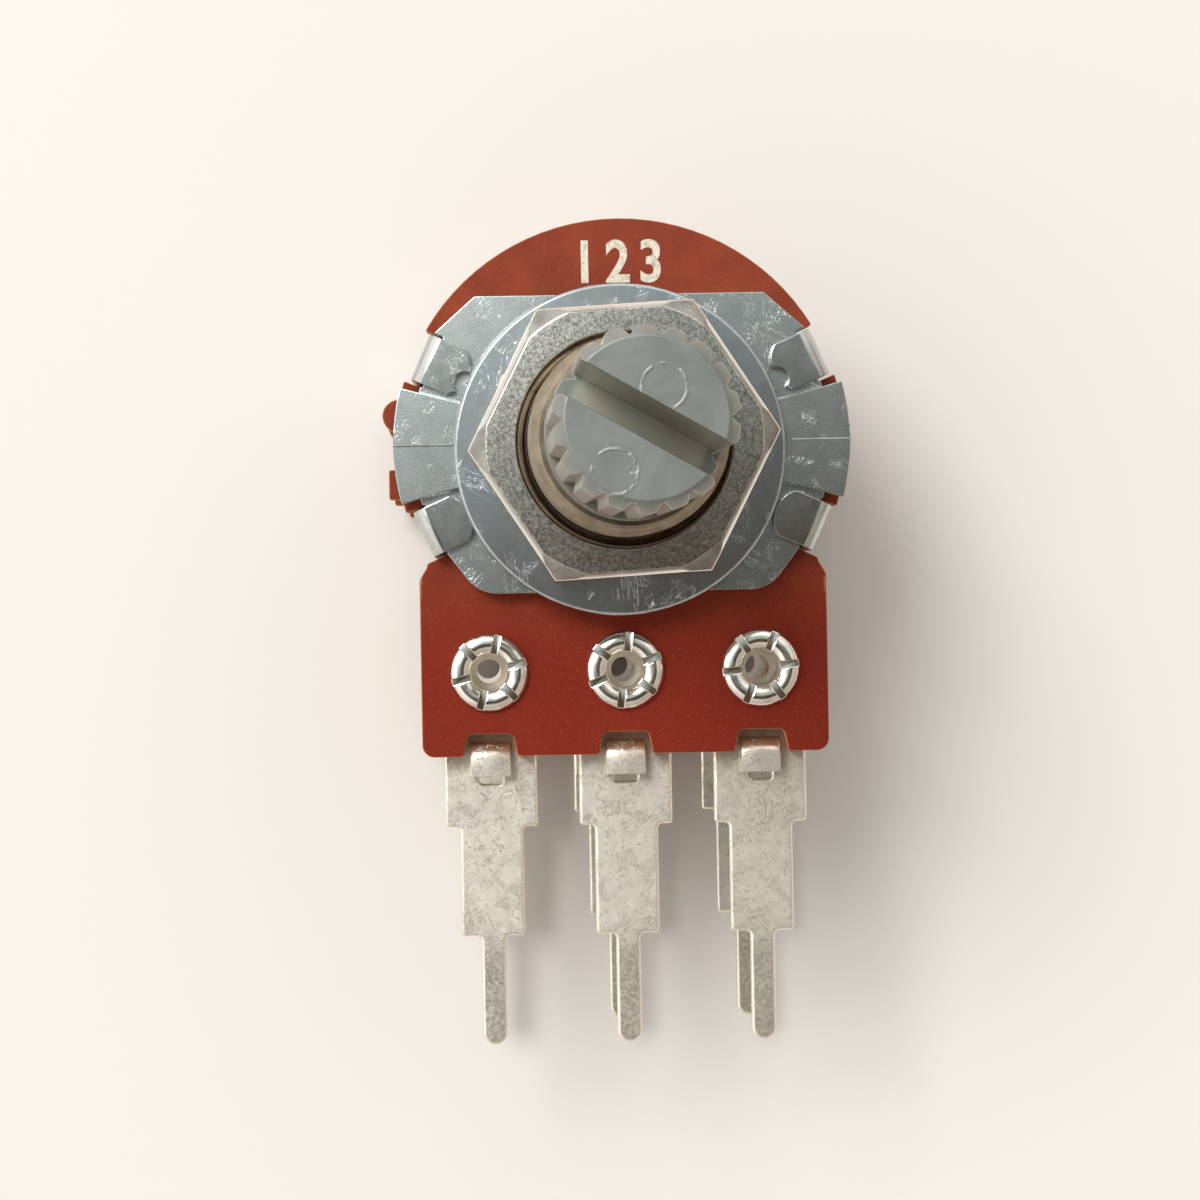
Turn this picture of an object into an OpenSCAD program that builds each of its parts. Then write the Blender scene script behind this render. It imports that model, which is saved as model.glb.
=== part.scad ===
// Stereo rotary potentiometer: two gangs on one shaft, 16 mm body, terminals for a circuit board.
// The origin is on the shaft's axis, in the plane of the raised mounting face.
// +Z runs out along the shaft, and the terminals leave towards -Y.

/* [Shaft] */
// Diameter of the shaft
shaft_d = 6.0; // [5.7:0.1:6.2]
// Height of the shaft's end above the mounting face
shaft_reach = 20; // [18:0.5:30]
// Length of the toothed end
spline_len = 10; // [6:0.5:10]
// Number of teeth round the shaft
spline_teeth = 18; // [14:1:24]
// Depth of the grooves between the teeth
spline_depth = 0.34; // [0.2:0.02:0.4]
// Width of the slot across the shaft's end
slot_w = 1.2; // [0.8:0.1:1.6]
// Depth of the slot
slot_depth = 8; // [4:0.5:8]
// Chamfer round the shaft's end
shaft_chamfer = 0.4; // [0.2:0.05:0.6]
// Diameter of the keyed length inside the body
key_d = 5.0; // [4.6:0.1:5.2]
// Width across the two flats of the keyed length
key_flats = 3.7; // [3.3:0.1:4.0]
// Diameter of the pivot at the shaft's inner end
pivot_d = 3.0; // [2.4:0.1:3.4]
// Running clearance round the shaft and its pivot
shaft_fit = 0.05; // [0.02:0.01:0.08]
// How much slimmer the journal inside the bushing is than the shaft outside it
journal_relief = 0.4; // [0.36:0.02:0.6]

/* [Bushing] */
// Diameter of the threaded bushing
bushing_d = 7.0; // [6.9:0.1:8.0]
// Height of the bushing above the mounting face
bushing_len = 7; // [5:0.5:7.5]
// Chamfer round the bushing's end
bushing_chamfer = 0.35; // [0.2:0.05:0.35]
// Pitch of the bushing's thread
thread_pitch = 0.75; // [0.5:0.05:1.0]
// Depth of the thread
thread_depth = 0.3; // [0.15:0.05:0.35]
// Diameter of the bushing's root inside the mounting plate
root_d = 7.3; // [7.1:0.1:8.2]
// Diameter of the flange that backs the mounting plate
flange_d = 9.6; // [9.2:0.1:9.8]
// Width across the flange from ear to ear
ear_span = 13.2; // [12.0:0.2:14.4]
// Width of each ear
ear_w = 2.2; // [1.6:0.1:2.6]

/* [Mounting plate] */
// Thickness of the plate's sheet
plate_t = 0.8; // [0.6:0.05:1.0]
// Height of the raised face above the plate's rim
plate_step = 0.45; // [0.35:0.05:0.5]
// Height of the plate across its flat top and bottom
plate_h = 10.9; // [10.5:0.1:11.3]
// Width of the plate's flat top edge
plate_top_w = 10.6; // [9.6:0.1:11.0]
// Height of the corner where the upper chamfered edge meets the strap
plate_corner_y = 4.12; // [4.0:0.02:4.3]
// Slope of the lower corners' edges
plate_slope = 53; // [48:1:58]
// Rounding where those edges meet the bottom edge
plate_corner_r = 1.4; // [1.0:0.1:1.8]
// Outer radius of the plate's rim beside the wings
rim_r = 7.65; // [7.5:0.05:7.8]
// Diameter of the raised centre of the plate
raised_d = 10.6; // [10.2:0.1:11.2]
// How far the raised wings stand out past the round part of the boards
wing_over = 0.05; // [0:0.01:0.1]
// Half-angle of each wing
wing_half_angle = 14.7; // [13:0.1:15]
// Height of the fine ridge along each wing
ridge_h = 0.07; // [0.04:0.01:0.1]
// Width of the fine ridge along each wing
ridge_w = 0.22; // [0.15:0.01:0.3]

/* [Nut and washer] */
// Outer diameter of the washer
washer_d = 12.1; // [11.5:0.1:12.6]
// Thickness of the washer
washer_t = 0.5; // [0.4:0.05:0.8]
// How much wider the washer's hole is than the bushing
washer_play = 0.7; // [0.65:0.05:1.0]
// Sideways shift of the washer on the bushing
washer_shift_x = -0.1; // [-0.1:0.02:0.1]
// Downward shift of the washer on the bushing
washer_shift_y = -0.26; // [-0.26:0.02:0.1]
// Width of the nut across its flats
nut_af = 9.8; // [9.4:0.1:10.2]
// Height of the nut
nut_h = 2.0; // [1.5:0.1:2.4]
// Turn of the nut about the shaft's axis
nut_turn = 3; // [0:1:30]
// Diameter of the countersunk mouth of the nut
nut_mouth_d = 7.8; // [7.6:0.1:8.2]
// Chamfer along the nut's upper edges
nut_edge = 0.2; // [0.1:0.05:0.3]
// How far the cone that trims the nut's corners lies outside its flats
nut_crown = 0.1; // [0:0.05:0.3]
// Clearance between the nut and the bushing's thread
nut_fit = 0.04; // [0.02:0.01:0.08]

/* [Boards] */
// Diameter of the round part of each board
board_d = 16.6; // [16.4:0.1:17.4]
// Thickness of each board
board_t = 1.2; // [1.0:0.1:1.6]
// Width of the foot that carries the terminals
foot_w = 15.0; // [14.6:0.1:15.6]
// Distance from the shaft's axis to the foot's lower edge
foot_reach = 11.43; // [11.2:0.05:12.0]
// Distance from the shaft's axis to the foot's shoulders
shoulder_y = 4.9; // [4.7:0.1:5.2]
// How much narrower the neck above the shoulders is, on each side
neck_inset = 0.3; // [0.2:0.05:0.4]
// Height of the sloped shoulder
neck_rise = 0.5; // [0.3:0.1:0.7]
// Rounding of the foot's lower corners
foot_corner_r = 0.45; // [0.2:0.05:0.8]
// Depth of the notch in front of each terminal
notch_depth = 0.83; // [0.7:0.05:1.0]
// Width of that notch at the foot's edge
notch_w = 2.0; // [1.9:0.05:2.3]
// How much narrower the notch is at its floor
notch_taper = 0.25; // [0:0.05:0.3]
// Rounding of the notch's inner corners
notch_corner = 0.2; // [0.1:0.05:0.3]
// How far the upper break-off nub stands out of the board's flank
nub_upper_proud = 0.45; // [0.2:0.05:0.5]
// How far the lower break-off nub stands out of the board's flank
nub_lower_proud = 0.25; // [0.2:0.05:0.5]
// Height of the upper nub
nub_upper_h = 1.2; // [0.9:0.1:1.3]
// Height of the lower nub
nub_lower_h = 1.1; // [0.9:0.1:1.4]
// Distance of the upper nub from the X axis
nub_upper_y = 1.15; // [1.0:0.05:1.4]
// Distance of the lower nub from the X axis
nub_lower_y = 1.38; // [1.2:0.02:1.5]

/* [Terminals] */
// Distance between neighbouring terminals
pitch = 5.0; // [4.8:0.1:5.08]
// Distance from the shaft's axis to the eyelets
eyelet_y = 8.33; // [8.3:0.02:8.5]
// Thickness of the terminal sheet
term_t = 0.4; // [0.3:0.05:0.5]
// Width of the terminal at the eyelet
term_w = 3.46; // [3.2:0.02:3.5]
// Width of the terminal's middle length
term_mid_w = 2.36; // [1.6:0.02:2.6]
// Width of the solder pin
pin_w = 0.91; // [0.7:0.01:1.0]
// Distance from the shaft's axis to the first shoulder
term_shoulder_y = 14.1; // [13.5:0.1:15.0]
// Distance from the shaft's axis to the second shoulder
pin_shoulder_y = 18.15; // [17.5:0.1:19.0]
// Distance from the shaft's axis to the pin's tip
pin_tip_y = 22.2; // [21.0:0.1:24.0]
// Fillets where each narrower length begins
term_fillet = 0.18; // [0.1:0.02:0.3]
// Width of the raised nose that locks the terminal in its notch
nose_w = 1.46; // [1.2:0.02:1.5]
// Height of the nose above the terminal
nose_h = 0.75; // [0.5:0.05:0.9]
// Distance from the shaft's axis to the nose's open lower edge
nose_end_y = 12.2; // [12.0:0.05:12.6]
// Gap between the nose's arched top and the notch's floor
nose_gap = 0.32; // [0.2:0.02:0.4]
// Thickness of the nose's wall
nose_wall = 0.3; // [0.2:0.05:0.35]

/* [Eyelets] */
// Outer diameter of the rolled collar
collar_d = 2.95; // [2.8:0.05:3.1]
// Diameter of the roll itself
collar_roll = 0.84; // [0.7:0.02:0.9]
// Outer diameter of the barrel
barrel_d = 1.7; // [1.6:0.05:1.8]
// Diameter of the bore inside the barrel
eyelet_bore = 1.32; // [1.2:0.02:1.36]
// Diameter of the hole in the flange on the terminal's side
eyelet_hole = 0.9; // [0.7:0.05:1.0]
// Width of the splits in the collar
split_w = 0.24; // [0.16:0.02:0.3]
// Depth of the splits, from the top of the roll
split_depth = 0.2; // [0.1:0.02:0.3]
// Number of splits in the collar
split_count = 6; // [4:1:8]
// Diameter of the flange on the terminal's side
eyelet_flange_d = 2.6; // [2.3:0.1:2.8]
// Thickness of the flange on the terminal's side
eyelet_flange_t = 0.25; // [0.2:0.05:0.35]

/* [Straps and rear cover] */
// Thickness of the cover's sheet
cover_t = 0.5; // [0.4:0.05:0.6]
// Depth of the dished centre
dish_depth = 0.75; // [0.5:0.05:1.0]
// Diameter of the dished centre
dish_d = 9.0; // [8.4:0.1:9.6]
// Height of the cover across its flat top and bottom
cover_h = 12.4; // [12.0:0.1:12.6]
// Thickness of the straps
strap_t = 0.4; // [0.3:0.05:0.4]
// Width of the straps
strap_w = 1.8; // [1.6:0.05:1.9]
// Angle of the straps above and below the X axis
strap_angle = 24; // [23.6:0.1:24.4]
// How far the straps lie inside the boards' edge
strap_inset = 0.3; // [0.25:0.05:0.4]
// Outer bend radius of the straps
strap_bend = 0.5; // [0.45:0.05:0.6]
// Distance from the shaft's axis to the straps' folded tips
strap_tip_r = 6.1; // [6.05:0.05:6.4]
// Clearance beside the straps
strap_gap = 0.1; // [0.05:0.01:0.15]

/* [Body and mechanism] */
// Distance between the two rows of terminals
row_gap = 7.9; // [7.5:0.1:9.0]
// Gap between the body's lower flat and the terminals
flat_gap = 0.1; // [0.05:0.01:0.15]
// Thinnest wall of the moulded body
body_wall = 0.6; // [0.5:0.05:0.7]
// Thickness of the web between the two gangs
web_t = 1.0; // [0.8:0.1:1.4]
// Electrical and mechanical travel of the shaft
travel_deg = 300; // [260:5:310]
// Play left between the stop and the lug at each end
stop_play_deg = 0.6; // [0.4:0.1:1.0]
// Thickness of the retaining clip
clip_t = 0.5; // [0.4:0.05:0.6]
// Depth of the clip's groove in the journal
groove_depth = 0.35; // [0.3:0.05:0.4]
// How far the clip stands out round the journal
clip_rim = 0.6; // [0.5:0.05:0.7]
// Thickness of the printed tracks
print_t = 0.05; // [0.03:0.01:0.08]
// Width of the resistive track
track_w = 0.8; // [0.6:0.05:0.9]
// Width of the collector ring
collector_w = 0.6; // [0.4:0.05:0.65]
// Thickness of each rotor's disc
rotor_t = 1.4; // [1.2:0.1:1.6]
// Thickness of the wiper's spring sheet
wiper_t = 0.15; // [0.1:0.01:0.2]

/* [Hidden] */
$fn = 96;
cut = 1;              // overshoot of a cutting tool past the face that it opens
slip = 0.02;          // clearance of a part that is pushed or pressed into its seat

// Levels along the shaft's axis
rim_z = -plate_step;                       // front of the plate's rim
board_z = rim_z - plate_t;                 // front of the front board
gang_z = board_z - board_t;                // rear of the front board, where its terminals lie
body_h = row_gap + term_t;                 // distance between the two boards
mid_z = gang_z - body_h / 2;               // middle of the web, the mirror plane of the gangs
cover_z = gang_z - body_h - board_t;       // inner face of the rear cover
dish_z = cover_z - cover_t - dish_depth;   // outermost rear face
rotor_gap = 0.85;                          // from the board to the rotor's disc
spring_gap = 0.04;                         // from the wiper's contacts to the tracks
washer_edge = 0.08;                        // chamfer round the washer's upper edge
eyelet_edge = 0.08;                        // chamfer round the eyelet's flange
nose_arch = 0.9;                           // radius of the nose's arch, as a share of its height
crest_relief = 0.03;                       // how much slimmer the teeth's crests are than the shaft
groove_share = 0.72;                       // share of a tooth's pitch that its groove takes
pivot_play = 0.15;                         // from the pivot's end to the outermost rear face
bore_mouth = 0.15;                         // chamfer at the bushing's mouth
clip_opening = 0.72;                       // opening of the clip, as a share of its groove
lug_gap = 0.3;                             // from the lug and the stop to the opposite faces
tip_round = 0.62;                          // radius of a strap's round end, as a share of its width
bite_size = 0.24;                          // radius of the bite in that end, as a share of its width
bite_side = 0.16;                          // how far the bite lies beside the strap's middle
dish_slope = 0.45;                         // how far the dish's wall leans, from its rim to its floor
dish_thin = 0.15;                          // how much farther in the dish's inner wall lies
fold_low = 0.3;                            // from the plate's rim down to where the tips' shape starts
rotor_web_gap = body_h / 2 - rotor_gap - rotor_t - web_t / 2;
finger_share = 0.32;                       // width of a track finger, as a share of the track
finger_places = [0.28, 0.72];              // places of the two track fingers across the track
collector_share = 0.7;                     // width of the collector finger, as a share of its ring
window_half = 22;                          // half-angle of the window under the fingers
post_turn = [60, 180, 300];                // places of the posts round the rotor

// Radii and the margins between them
body_inset = 0.4;                          // from the boards' edge to the moulded body
rotor_play = 0.3;                          // from the rotors to the cavity's wall
clip_clear = 0.2;                          // from the clip to the boards' centre holes
print_edge = 0.3;                          // bare rim of a board beside a print
hub_wall = 0.2;                            // how much wider the rotors' hubs are than the shaft
stop_clear = 0.15;                         // from the stops to the rotors' hubs
post_r = 0.3;                              // posts that hold each wiper on its rotor
overlap = 0.1;                             // how far two shapes of one solid run into each other
shaft_r = shaft_d / 2;
journal_r = shaft_r - journal_relief / 2;
board_r = board_d / 2;
strap_r_out = board_r - strap_inset;
strap_r_in = strap_r_out - strap_t;
// floor of the grooves that the straps lie in, clear of the straps' inner bend
slot_r = strap_r_in - max(strap_gap, strap_bend - strap_t);
body_r = board_r - body_inset;
wing_r = board_r + wing_over;
flat_y = eyelet_y - term_w / 2 - flat_gap; // the body's lower flat
cavity_r = flat_y - body_wall;
rotor_r = cavity_r - rotor_play;
groove_r = journal_r - groove_depth;
clip_r = journal_r + clip_rim;
centre_hole_r = clip_r + clip_clear;
collector_r = centre_hole_r + print_edge;  // inner radius of the collector ring
track_r = cavity_r - clip_clear - track_w; // inner radius of the track
hub_r = shaft_r + hub_wall;
pivot_r = pivot_d / 2;
post_at = (hub_r + rotor_r) / 2;
finger_reach = 2.3;                        // length of the wiper's fingers
finger_root = 0.6;                         // length by which each finger runs into its ring
barrel_r = barrel_d / 2;
raised_r = raised_d / 2;
ridge_start = washer_d / 2 + abs(washer_shift_x) + slip;
flange_r = flange_d / 2;

// Turned position at the counter-clockwise stop
rest_deg = 90 + travel_deg / 2;            // where the wipers stand, seen from the front
stop_half = (360 - travel_deg) / 4;        // half-angle of the stop and of the lug
ring_r = term_w / 2;
terminal_x = [for (i = [-1, 0, 1]) i * pitch];
split_turn = [75, 82, 66, 71, 60, 78];     // turn of the splits in each eyelet

// ---------- shapes that repeat ----------

// Mirrors a front-gang part to the rear gang.
module to_rear() translate([0, 0, 2 * mid_z]) mirror([0, 0, 1]) children();

// A plate between two levels.
module slab(z0, z1) translate([0, 0, z0]) linear_extrude(height = z1 - z0) children();

// A tool that opens a hole of radius r by "wide" at the level z.
module countersink(r, wide, z) {
    rotate_extrude() polygon([[0, z - wide], [r, z - wide], [r + wide + cut, z + cut], [0, z + cut]]);
}

// A square band along +X from r0 to r1.
module spoke(r0, r1, w) translate([r0, -w / 2]) square([r1 - r0, w]);

// A circular sector of radius r around the angle "at".
module sector(r, at, half) {
    reach = r / cos(half);
    intersection() {
        circle(r = r);
        rotate(at) polygon([[0, 0], [reach * cos(half), -reach * sin(half)],
                            [reach, 0], [reach * cos(half), reach * sin(half)]]);
    }
}

// Runs its child once for each of the four strap positions. The upper straps' tips are bitten.
module each_strap() {
    for (side = [0, 1], low = [0, 1]) {
        $bitten = low == 0;
        mirror([side, 0]) mirror([0, low]) rotate(strap_angle) children();
    }
}

// A point on a slot's wall: "along" the strap's direction and "across" it, in the upper right slot.
function slot_point(along, across) =
    along * [cos(strap_angle), sin(strap_angle)] + across * [-sin(strap_angle), cos(strap_angle)];

module strap_slots() each_strap() spoke(slot_r, board_r + 2, strap_w + 2 * strap_gap);

module quarter_ring(r_out, r_in) {
    difference() {
        intersection() {
            circle(r = r_out, $fn = 48);
            square(r_out);
        }
        circle(r = r_in, $fn = 48);
    }
}

// ---------- shaft, bushing, clip ----------

// Round teeth's crests with V-shaped grooves between them.
module spline_outline() {
    crest_r = shaft_r - crest_relief;
    half = 180 / spline_teeth * groove_share;
    mouth_r = crest_r + 2 * overlap;
    difference() {
        circle(r = crest_r);
        for (i = [0 : spline_teeth - 1]) rotate((i + 0.5) * 360 / spline_teeth)
            polygon([[crest_r - spline_depth, 0], mouth_r * [cos(half), -sin(half)],
                     mouth_r * [cos(half), sin(half)]]);
    }
}

module key_outline(gap = 0) {
    intersection() {
        circle(r = key_d / 2 + gap);
        square([key_d + 2 * cut, key_flats + 2 * gap], center = true);
    }
}

module shaft() {
    clip_top = board_z - slip;
    clip_bottom = clip_top - clip_t - slip;
    key_top = gang_z;
    key_bottom = cover_z - dish_depth + shaft_fit;
    pivot_end = dish_z + pivot_play;
    teeth_z = shaft_reach - spline_len;
    rim_r = shaft_r - shaft_chamfer;
    color([0.56, 0.58, 0.55]) rotate(travel_deg / 2) difference() {
        union() {
            // toothed end, trimmed by the chamfer
            intersection() {
                slab(teeth_z, shaft_reach) spline_outline();
                rotate_extrude() polygon([[0, teeth_z - cut], [shaft_d, teeth_z - cut],
                    [shaft_d, shaft_reach - shaft_d + rim_r], [rim_r, shaft_reach], [0, shaft_reach]]);
            }
            slab(bushing_len + shaft_fit, teeth_z) circle(r = shaft_r);
            slab(clip_top, bushing_len + shaft_fit) circle(r = journal_r);
            slab(clip_bottom, clip_top) circle(r = groove_r);
            slab(key_top, clip_bottom) circle(r = journal_r);
            slab(key_bottom, key_top) key_outline();
            slab(pivot_end, key_bottom) circle(r = pivot_r);
        }
        slab(shaft_reach - slot_depth, shaft_reach + cut) square([2 * shaft_d, slot_w], center = true);
    }
}

module bushing() {
    r = bushing_d / 2;
    bore = journal_r + shaft_fit;
    turns = floor((bushing_len - bushing_chamfer - washer_t) / thread_pitch);
    crest = thread_pitch / 16;
    groove = [[0, crest], [thread_depth, thread_pitch / 2], [0, thread_pitch - crest]];
    color([0.72, 0.70, 0.64]) difference() {
        union() {
            rotate_extrude() polygon(concat(
                [[0, board_z], [root_d / 2, board_z], [root_d / 2, 0], [r, 0]],
                [for (i = [0 : turns - 1], corner = groove)
                    [r - corner[0], washer_t + i * thread_pitch + corner[1]]],
                [[r, bushing_len - bushing_chamfer], [r - bushing_chamfer, bushing_len], [0, bushing_len]]));
            slab(board_z, board_z + plate_step) {
                circle(r = flange_r);
                square([ear_span, ear_w], center = true);
            }
        }
        slab(board_z - cut, bushing_len + cut) circle(r = bore);
        countersink(bore, bore_mouth, bushing_len);
    }
}

module retaining_clip() {
    top = board_z - slip - slip / 2;
    opening = 2 * groove_r * clip_opening;
    color([0.45, 0.46, 0.47]) rotate(travel_deg / 2) slab(top - clip_t, top) difference() {
        circle(r = clip_r);
        circle(r = groove_r + slip);
        rotate(90) spoke(0, clip_r + cut, opening);
    }
}

// ---------- mounting plate, washer, nut ----------

// The raised centre with its two wings.
module bow_tie() {
    circle(r = raised_r);
    sector(wing_r, 0, wing_half_angle);
    sector(wing_r, 180, wing_half_angle);
}

// One half of the plate's rim, for X above 0.
module half_rim() {
    half_h = plate_h / 2;
    wall = strap_w / 2 + strap_gap;
    top_corner = slot_point((plate_corner_y - wall * cos(strap_angle)) / sin(strap_angle), wall);
    low_corner = [slot_point(slot_r, wall)[0], -slot_point(slot_r, wall)[1]];
    // the sloped edge runs from the low corner until it is tangent to the rounding
    round_y = plate_corner_r - half_h;
    run = (low_corner[1] + plate_corner_r * cos(plate_slope) - round_y) / sin(plate_slope);
    tangent = low_corner - run * [cos(plate_slope), sin(plate_slope)];
    round_x = tangent[0] - plate_corner_r * sin(plate_slope);
    polygon([[-cut, half_h], [plate_top_w / 2, half_h], top_corner, [low_corner[0], 0], low_corner,
             tangent, [round_x, round_y], [round_x, -half_h], [-cut, -half_h]]);
    translate([round_x, round_y]) circle(r = plate_corner_r);
    intersection() {
        circle(r = rim_r);
        translate([0, -low_corner[0] / 2]) square([rim_r, low_corner[0]]);
    }
}

module plate_outline() {
    difference() {
        for (s = [0, 1]) mirror([s, 0]) half_rim();
        strap_slots();
    }
}

module mounting_plate() {
    color([0.62, 0.68, 0.70]) difference() {
        union() {
            slab(board_z, rim_z) {
                plate_outline();
                bow_tie();
            }
            slab(-plate_t, 0) bow_tie();
            // a fine ridge along each wing, from the washer's edge outwards
            for (s = [0, 180]) rotate(s) rotate([90, 0, 90]) translate([0, 0, ridge_start])
                linear_extrude(height = wing_r - ridge_start - slip)
                    polygon([[-ridge_w / 2, -overlap], [ridge_w / 2, -overlap], [0, ridge_h]]);
        }
        slab(board_z - cut, -plate_t) bow_tie();
        slab(board_z - cut, cut) circle(r = root_d / 2 + slip);
    }
}

module flat_washer() {
    hole = (bushing_d + washer_play) / 2;
    rim = washer_d / 2;
    color([0.56, 0.62, 0.67]) translate([washer_shift_x, washer_shift_y, 0]) rotate_extrude()
        polygon([[hole, 0], [rim, 0], [rim, washer_t - washer_edge], [rim - washer_edge, washer_t],
                 [hole, washer_t]]);
}

module hex_nut() {
    top = washer_t + nut_h;
    corner_r = nut_af / 2 / cos(30);
    top_r = corner_r - nut_edge / cos(30);
    crown_r = nut_af / 2 + nut_crown;      // circle where the corners' cone meets the top face
    reach = corner_r + cut;
    bore = bushing_d / 2 + nut_fit;
    color([0.52, 0.53, 0.53]) difference() {
        intersection() {
            rotate(nut_turn) {
                translate([0, 0, washer_t]) cylinder(r = corner_r, h = nut_h - nut_edge, $fn = 6);
                translate([0, 0, top - nut_edge]) cylinder(r1 = corner_r, r2 = top_r, h = nut_edge, $fn = 6);
            }
            rotate_extrude() polygon([[0, washer_t], [reach, washer_t],
                [reach, top - (reach - crown_r) * tan(30)], [crown_r, top], [0, top]]);
        }
        slab(washer_t - cut, top + cut) circle(r = bore);
        countersink(bore, nut_mouth_d / 2 - bore, top);
    }
}

// ---------- boards and prints ----------

module foot_outline() {
    w = foot_w / 2;
    neck = w - neck_inset;
    r = foot_corner_r;
    neck_y = shoulder_y - neck_rise;
    polygon([[-w, -foot_reach + r], [-w + r, -foot_reach], [w - r, -foot_reach], [w, -foot_reach + r],
             [w, -shoulder_y], [neck, -neck_y], [neck, -board_r / 3],
             [-neck, -board_r / 3], [-neck, -neck_y], [-w, -shoulder_y]]);
    for (s = [-1, 1]) translate([s * (w - r), -foot_reach + r]) circle(r = r, $fn = 48);
}

module terminal_notch() {
    top = -foot_reach + notch_depth;
    half = notch_w / 2;
    floor_half = half - notch_taper / 2;
    r = notch_corner;
    bend = r * (1 - cos(45));
    polygon([[-half, -foot_reach - cut], [half, -foot_reach - cut], [half, -foot_reach],
             [floor_half, top - r], [floor_half - bend, top - bend], [floor_half - r, top],
             [-floor_half + r, top], [-floor_half + bend, top - bend], [-floor_half, top - r],
             [-half, -foot_reach]]);
}

module track_print() {
    outer = track_r + track_w;
    difference() {
        union() {
            difference() {
                circle(r = outer);
                circle(r = track_r);
                sector(outer + cut, 270, 180 - travel_deg / 2);
            }
            // leads from the track's ends to the outer eyelets
            for (s = [-1, 1]) {
                from = (track_r + track_w / 2) * [s * sin(180 - travel_deg / 2), -cos(180 - travel_deg / 2)];
                run = [s * pitch, -eyelet_y] - from;
                translate(from) {
                    circle(r = track_w / 2 + overlap, $fn = 48);
                    rotate(atan2(run[1], run[0])) spoke(0, norm(run), track_w);
                }
                translate([s * pitch, -eyelet_y]) circle(r = ring_r - print_edge, $fn = 48);
            }
        }
        for (s = [-1, 1]) translate([s * pitch, -eyelet_y]) circle(r = barrel_r + slip, $fn = 48);
    }
}

module collector_print() {
    difference() {
        union() {
            circle(r = collector_r + collector_w);
            rotate(270) spoke(collector_r, eyelet_y, track_w);
            translate([0, -eyelet_y]) circle(r = ring_r - print_edge, $fn = 48);
        }
        circle(r = collector_r);
        translate([0, -eyelet_y]) circle(r = barrel_r + slip, $fn = 48);
    }
}

module front_board() {
    color([0.55, 0.24, 0.15]) difference() {
        slab(gang_z, board_z) difference() {
            union() {
                circle(r = board_r);
                foot_outline();
                // break-off nubs on the left flank
                translate([-board_r + nub_upper_h / 2 - nub_upper_proud, nub_upper_y])
                    circle(d = nub_upper_h, $fn = 48);
                translate([-board_r - nub_lower_proud, -nub_lower_y - nub_lower_h / 2])
                    square([board_r / 2, nub_lower_h]);
            }
            strap_slots();
            circle(r = centre_hole_r);
            for (x = terminal_x) {
                translate([x, -eyelet_y]) circle(r = barrel_r + slip, $fn = 48);
                translate([x, 0]) terminal_notch();
            }
        }
        slab(gang_z - cut, gang_z + print_t) {
            track_print();
            collector_print();
        }
    }
}

module front_track() color([0.16, 0.16, 0.17]) slab(gang_z, gang_z + print_t) track_print();

module front_collector() color([0.72, 0.72, 0.70]) slab(gang_z, gang_z + print_t) collector_print();

// ---------- terminals and eyelets ----------

module terminal_outline() {
    fillet = term_fillet;
    difference() {
        union() {
            translate([0, -eyelet_y]) circle(r = ring_r);
            translate([-ring_r, -term_shoulder_y]) square([term_w, term_shoulder_y - eyelet_y]);
            translate([-term_mid_w / 2, -pin_shoulder_y])
                square([term_mid_w, pin_shoulder_y - term_shoulder_y + cut]);
            translate([-pin_w / 2, -pin_tip_y + pin_w / 2])
                square([pin_w, pin_tip_y - pin_w / 2 - pin_shoulder_y + cut]);
            translate([0, -pin_tip_y + pin_w / 2]) circle(d = pin_w, $fn = 48);
            // small fillets where each narrower length begins
            for (s = [0, 1], step = [[term_mid_w / 2, term_shoulder_y], [pin_w / 2, pin_shoulder_y]])
                mirror([s, 0]) translate([step[0], -step[1]]) difference() {
                    translate([-overlap, -fillet]) square(fillet + overlap);
                    translate([fillet, -fillet]) circle(r = fillet, $fn = 48);
                }
        }
        translate([0, -eyelet_y]) circle(r = barrel_r + slip, $fn = 48);
    }
}

// The nose is lanced out of the sheet: closed at its arched top, open at its lower edge.
module nose_side(shrink) {
    top_y = foot_reach - notch_depth + nose_gap + shrink;
    rise = nose_h - shrink;
    r = rise * nose_arch;
    translate([-nose_end_y, -term_t / 2]) square([nose_end_y - top_y - r, term_t / 2 + rise]);
    translate([-top_y - r, -term_t / 2]) square([r, term_t / 2 + rise - r]);
    intersection() {
        translate([-top_y - r, rise - r]) circle(r = r, $fn = 48);
        translate([-top_y - r, rise - r]) square(r);
    }
}

module nose(shrink) {
    w = nose_w - 2 * shrink;
    rotate([90, 0, 90]) translate([0, 0, -w / 2]) linear_extrude(height = w) nose_side(shrink);
}

module terminal(i) {
    color([0.80, 0.79, 0.74]) translate([terminal_x[i], 0, 0]) difference() {
        union() {
            slab(gang_z - term_t, gang_z) terminal_outline();
            translate([0, 0, gang_z]) nose(0);
        }
        translate([0, 0, gang_z]) {
            nose(nose_wall);
            translate([0, 0, -term_t - cut]) linear_extrude(height = term_t + cut)
                translate([-nose_w / 2 + nose_wall, -nose_end_y - nose_wall])
                    square([nose_w - 2 * nose_wall, nose_end_y - foot_reach + notch_depth - nose_gap]);
        }
    }
}

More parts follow.
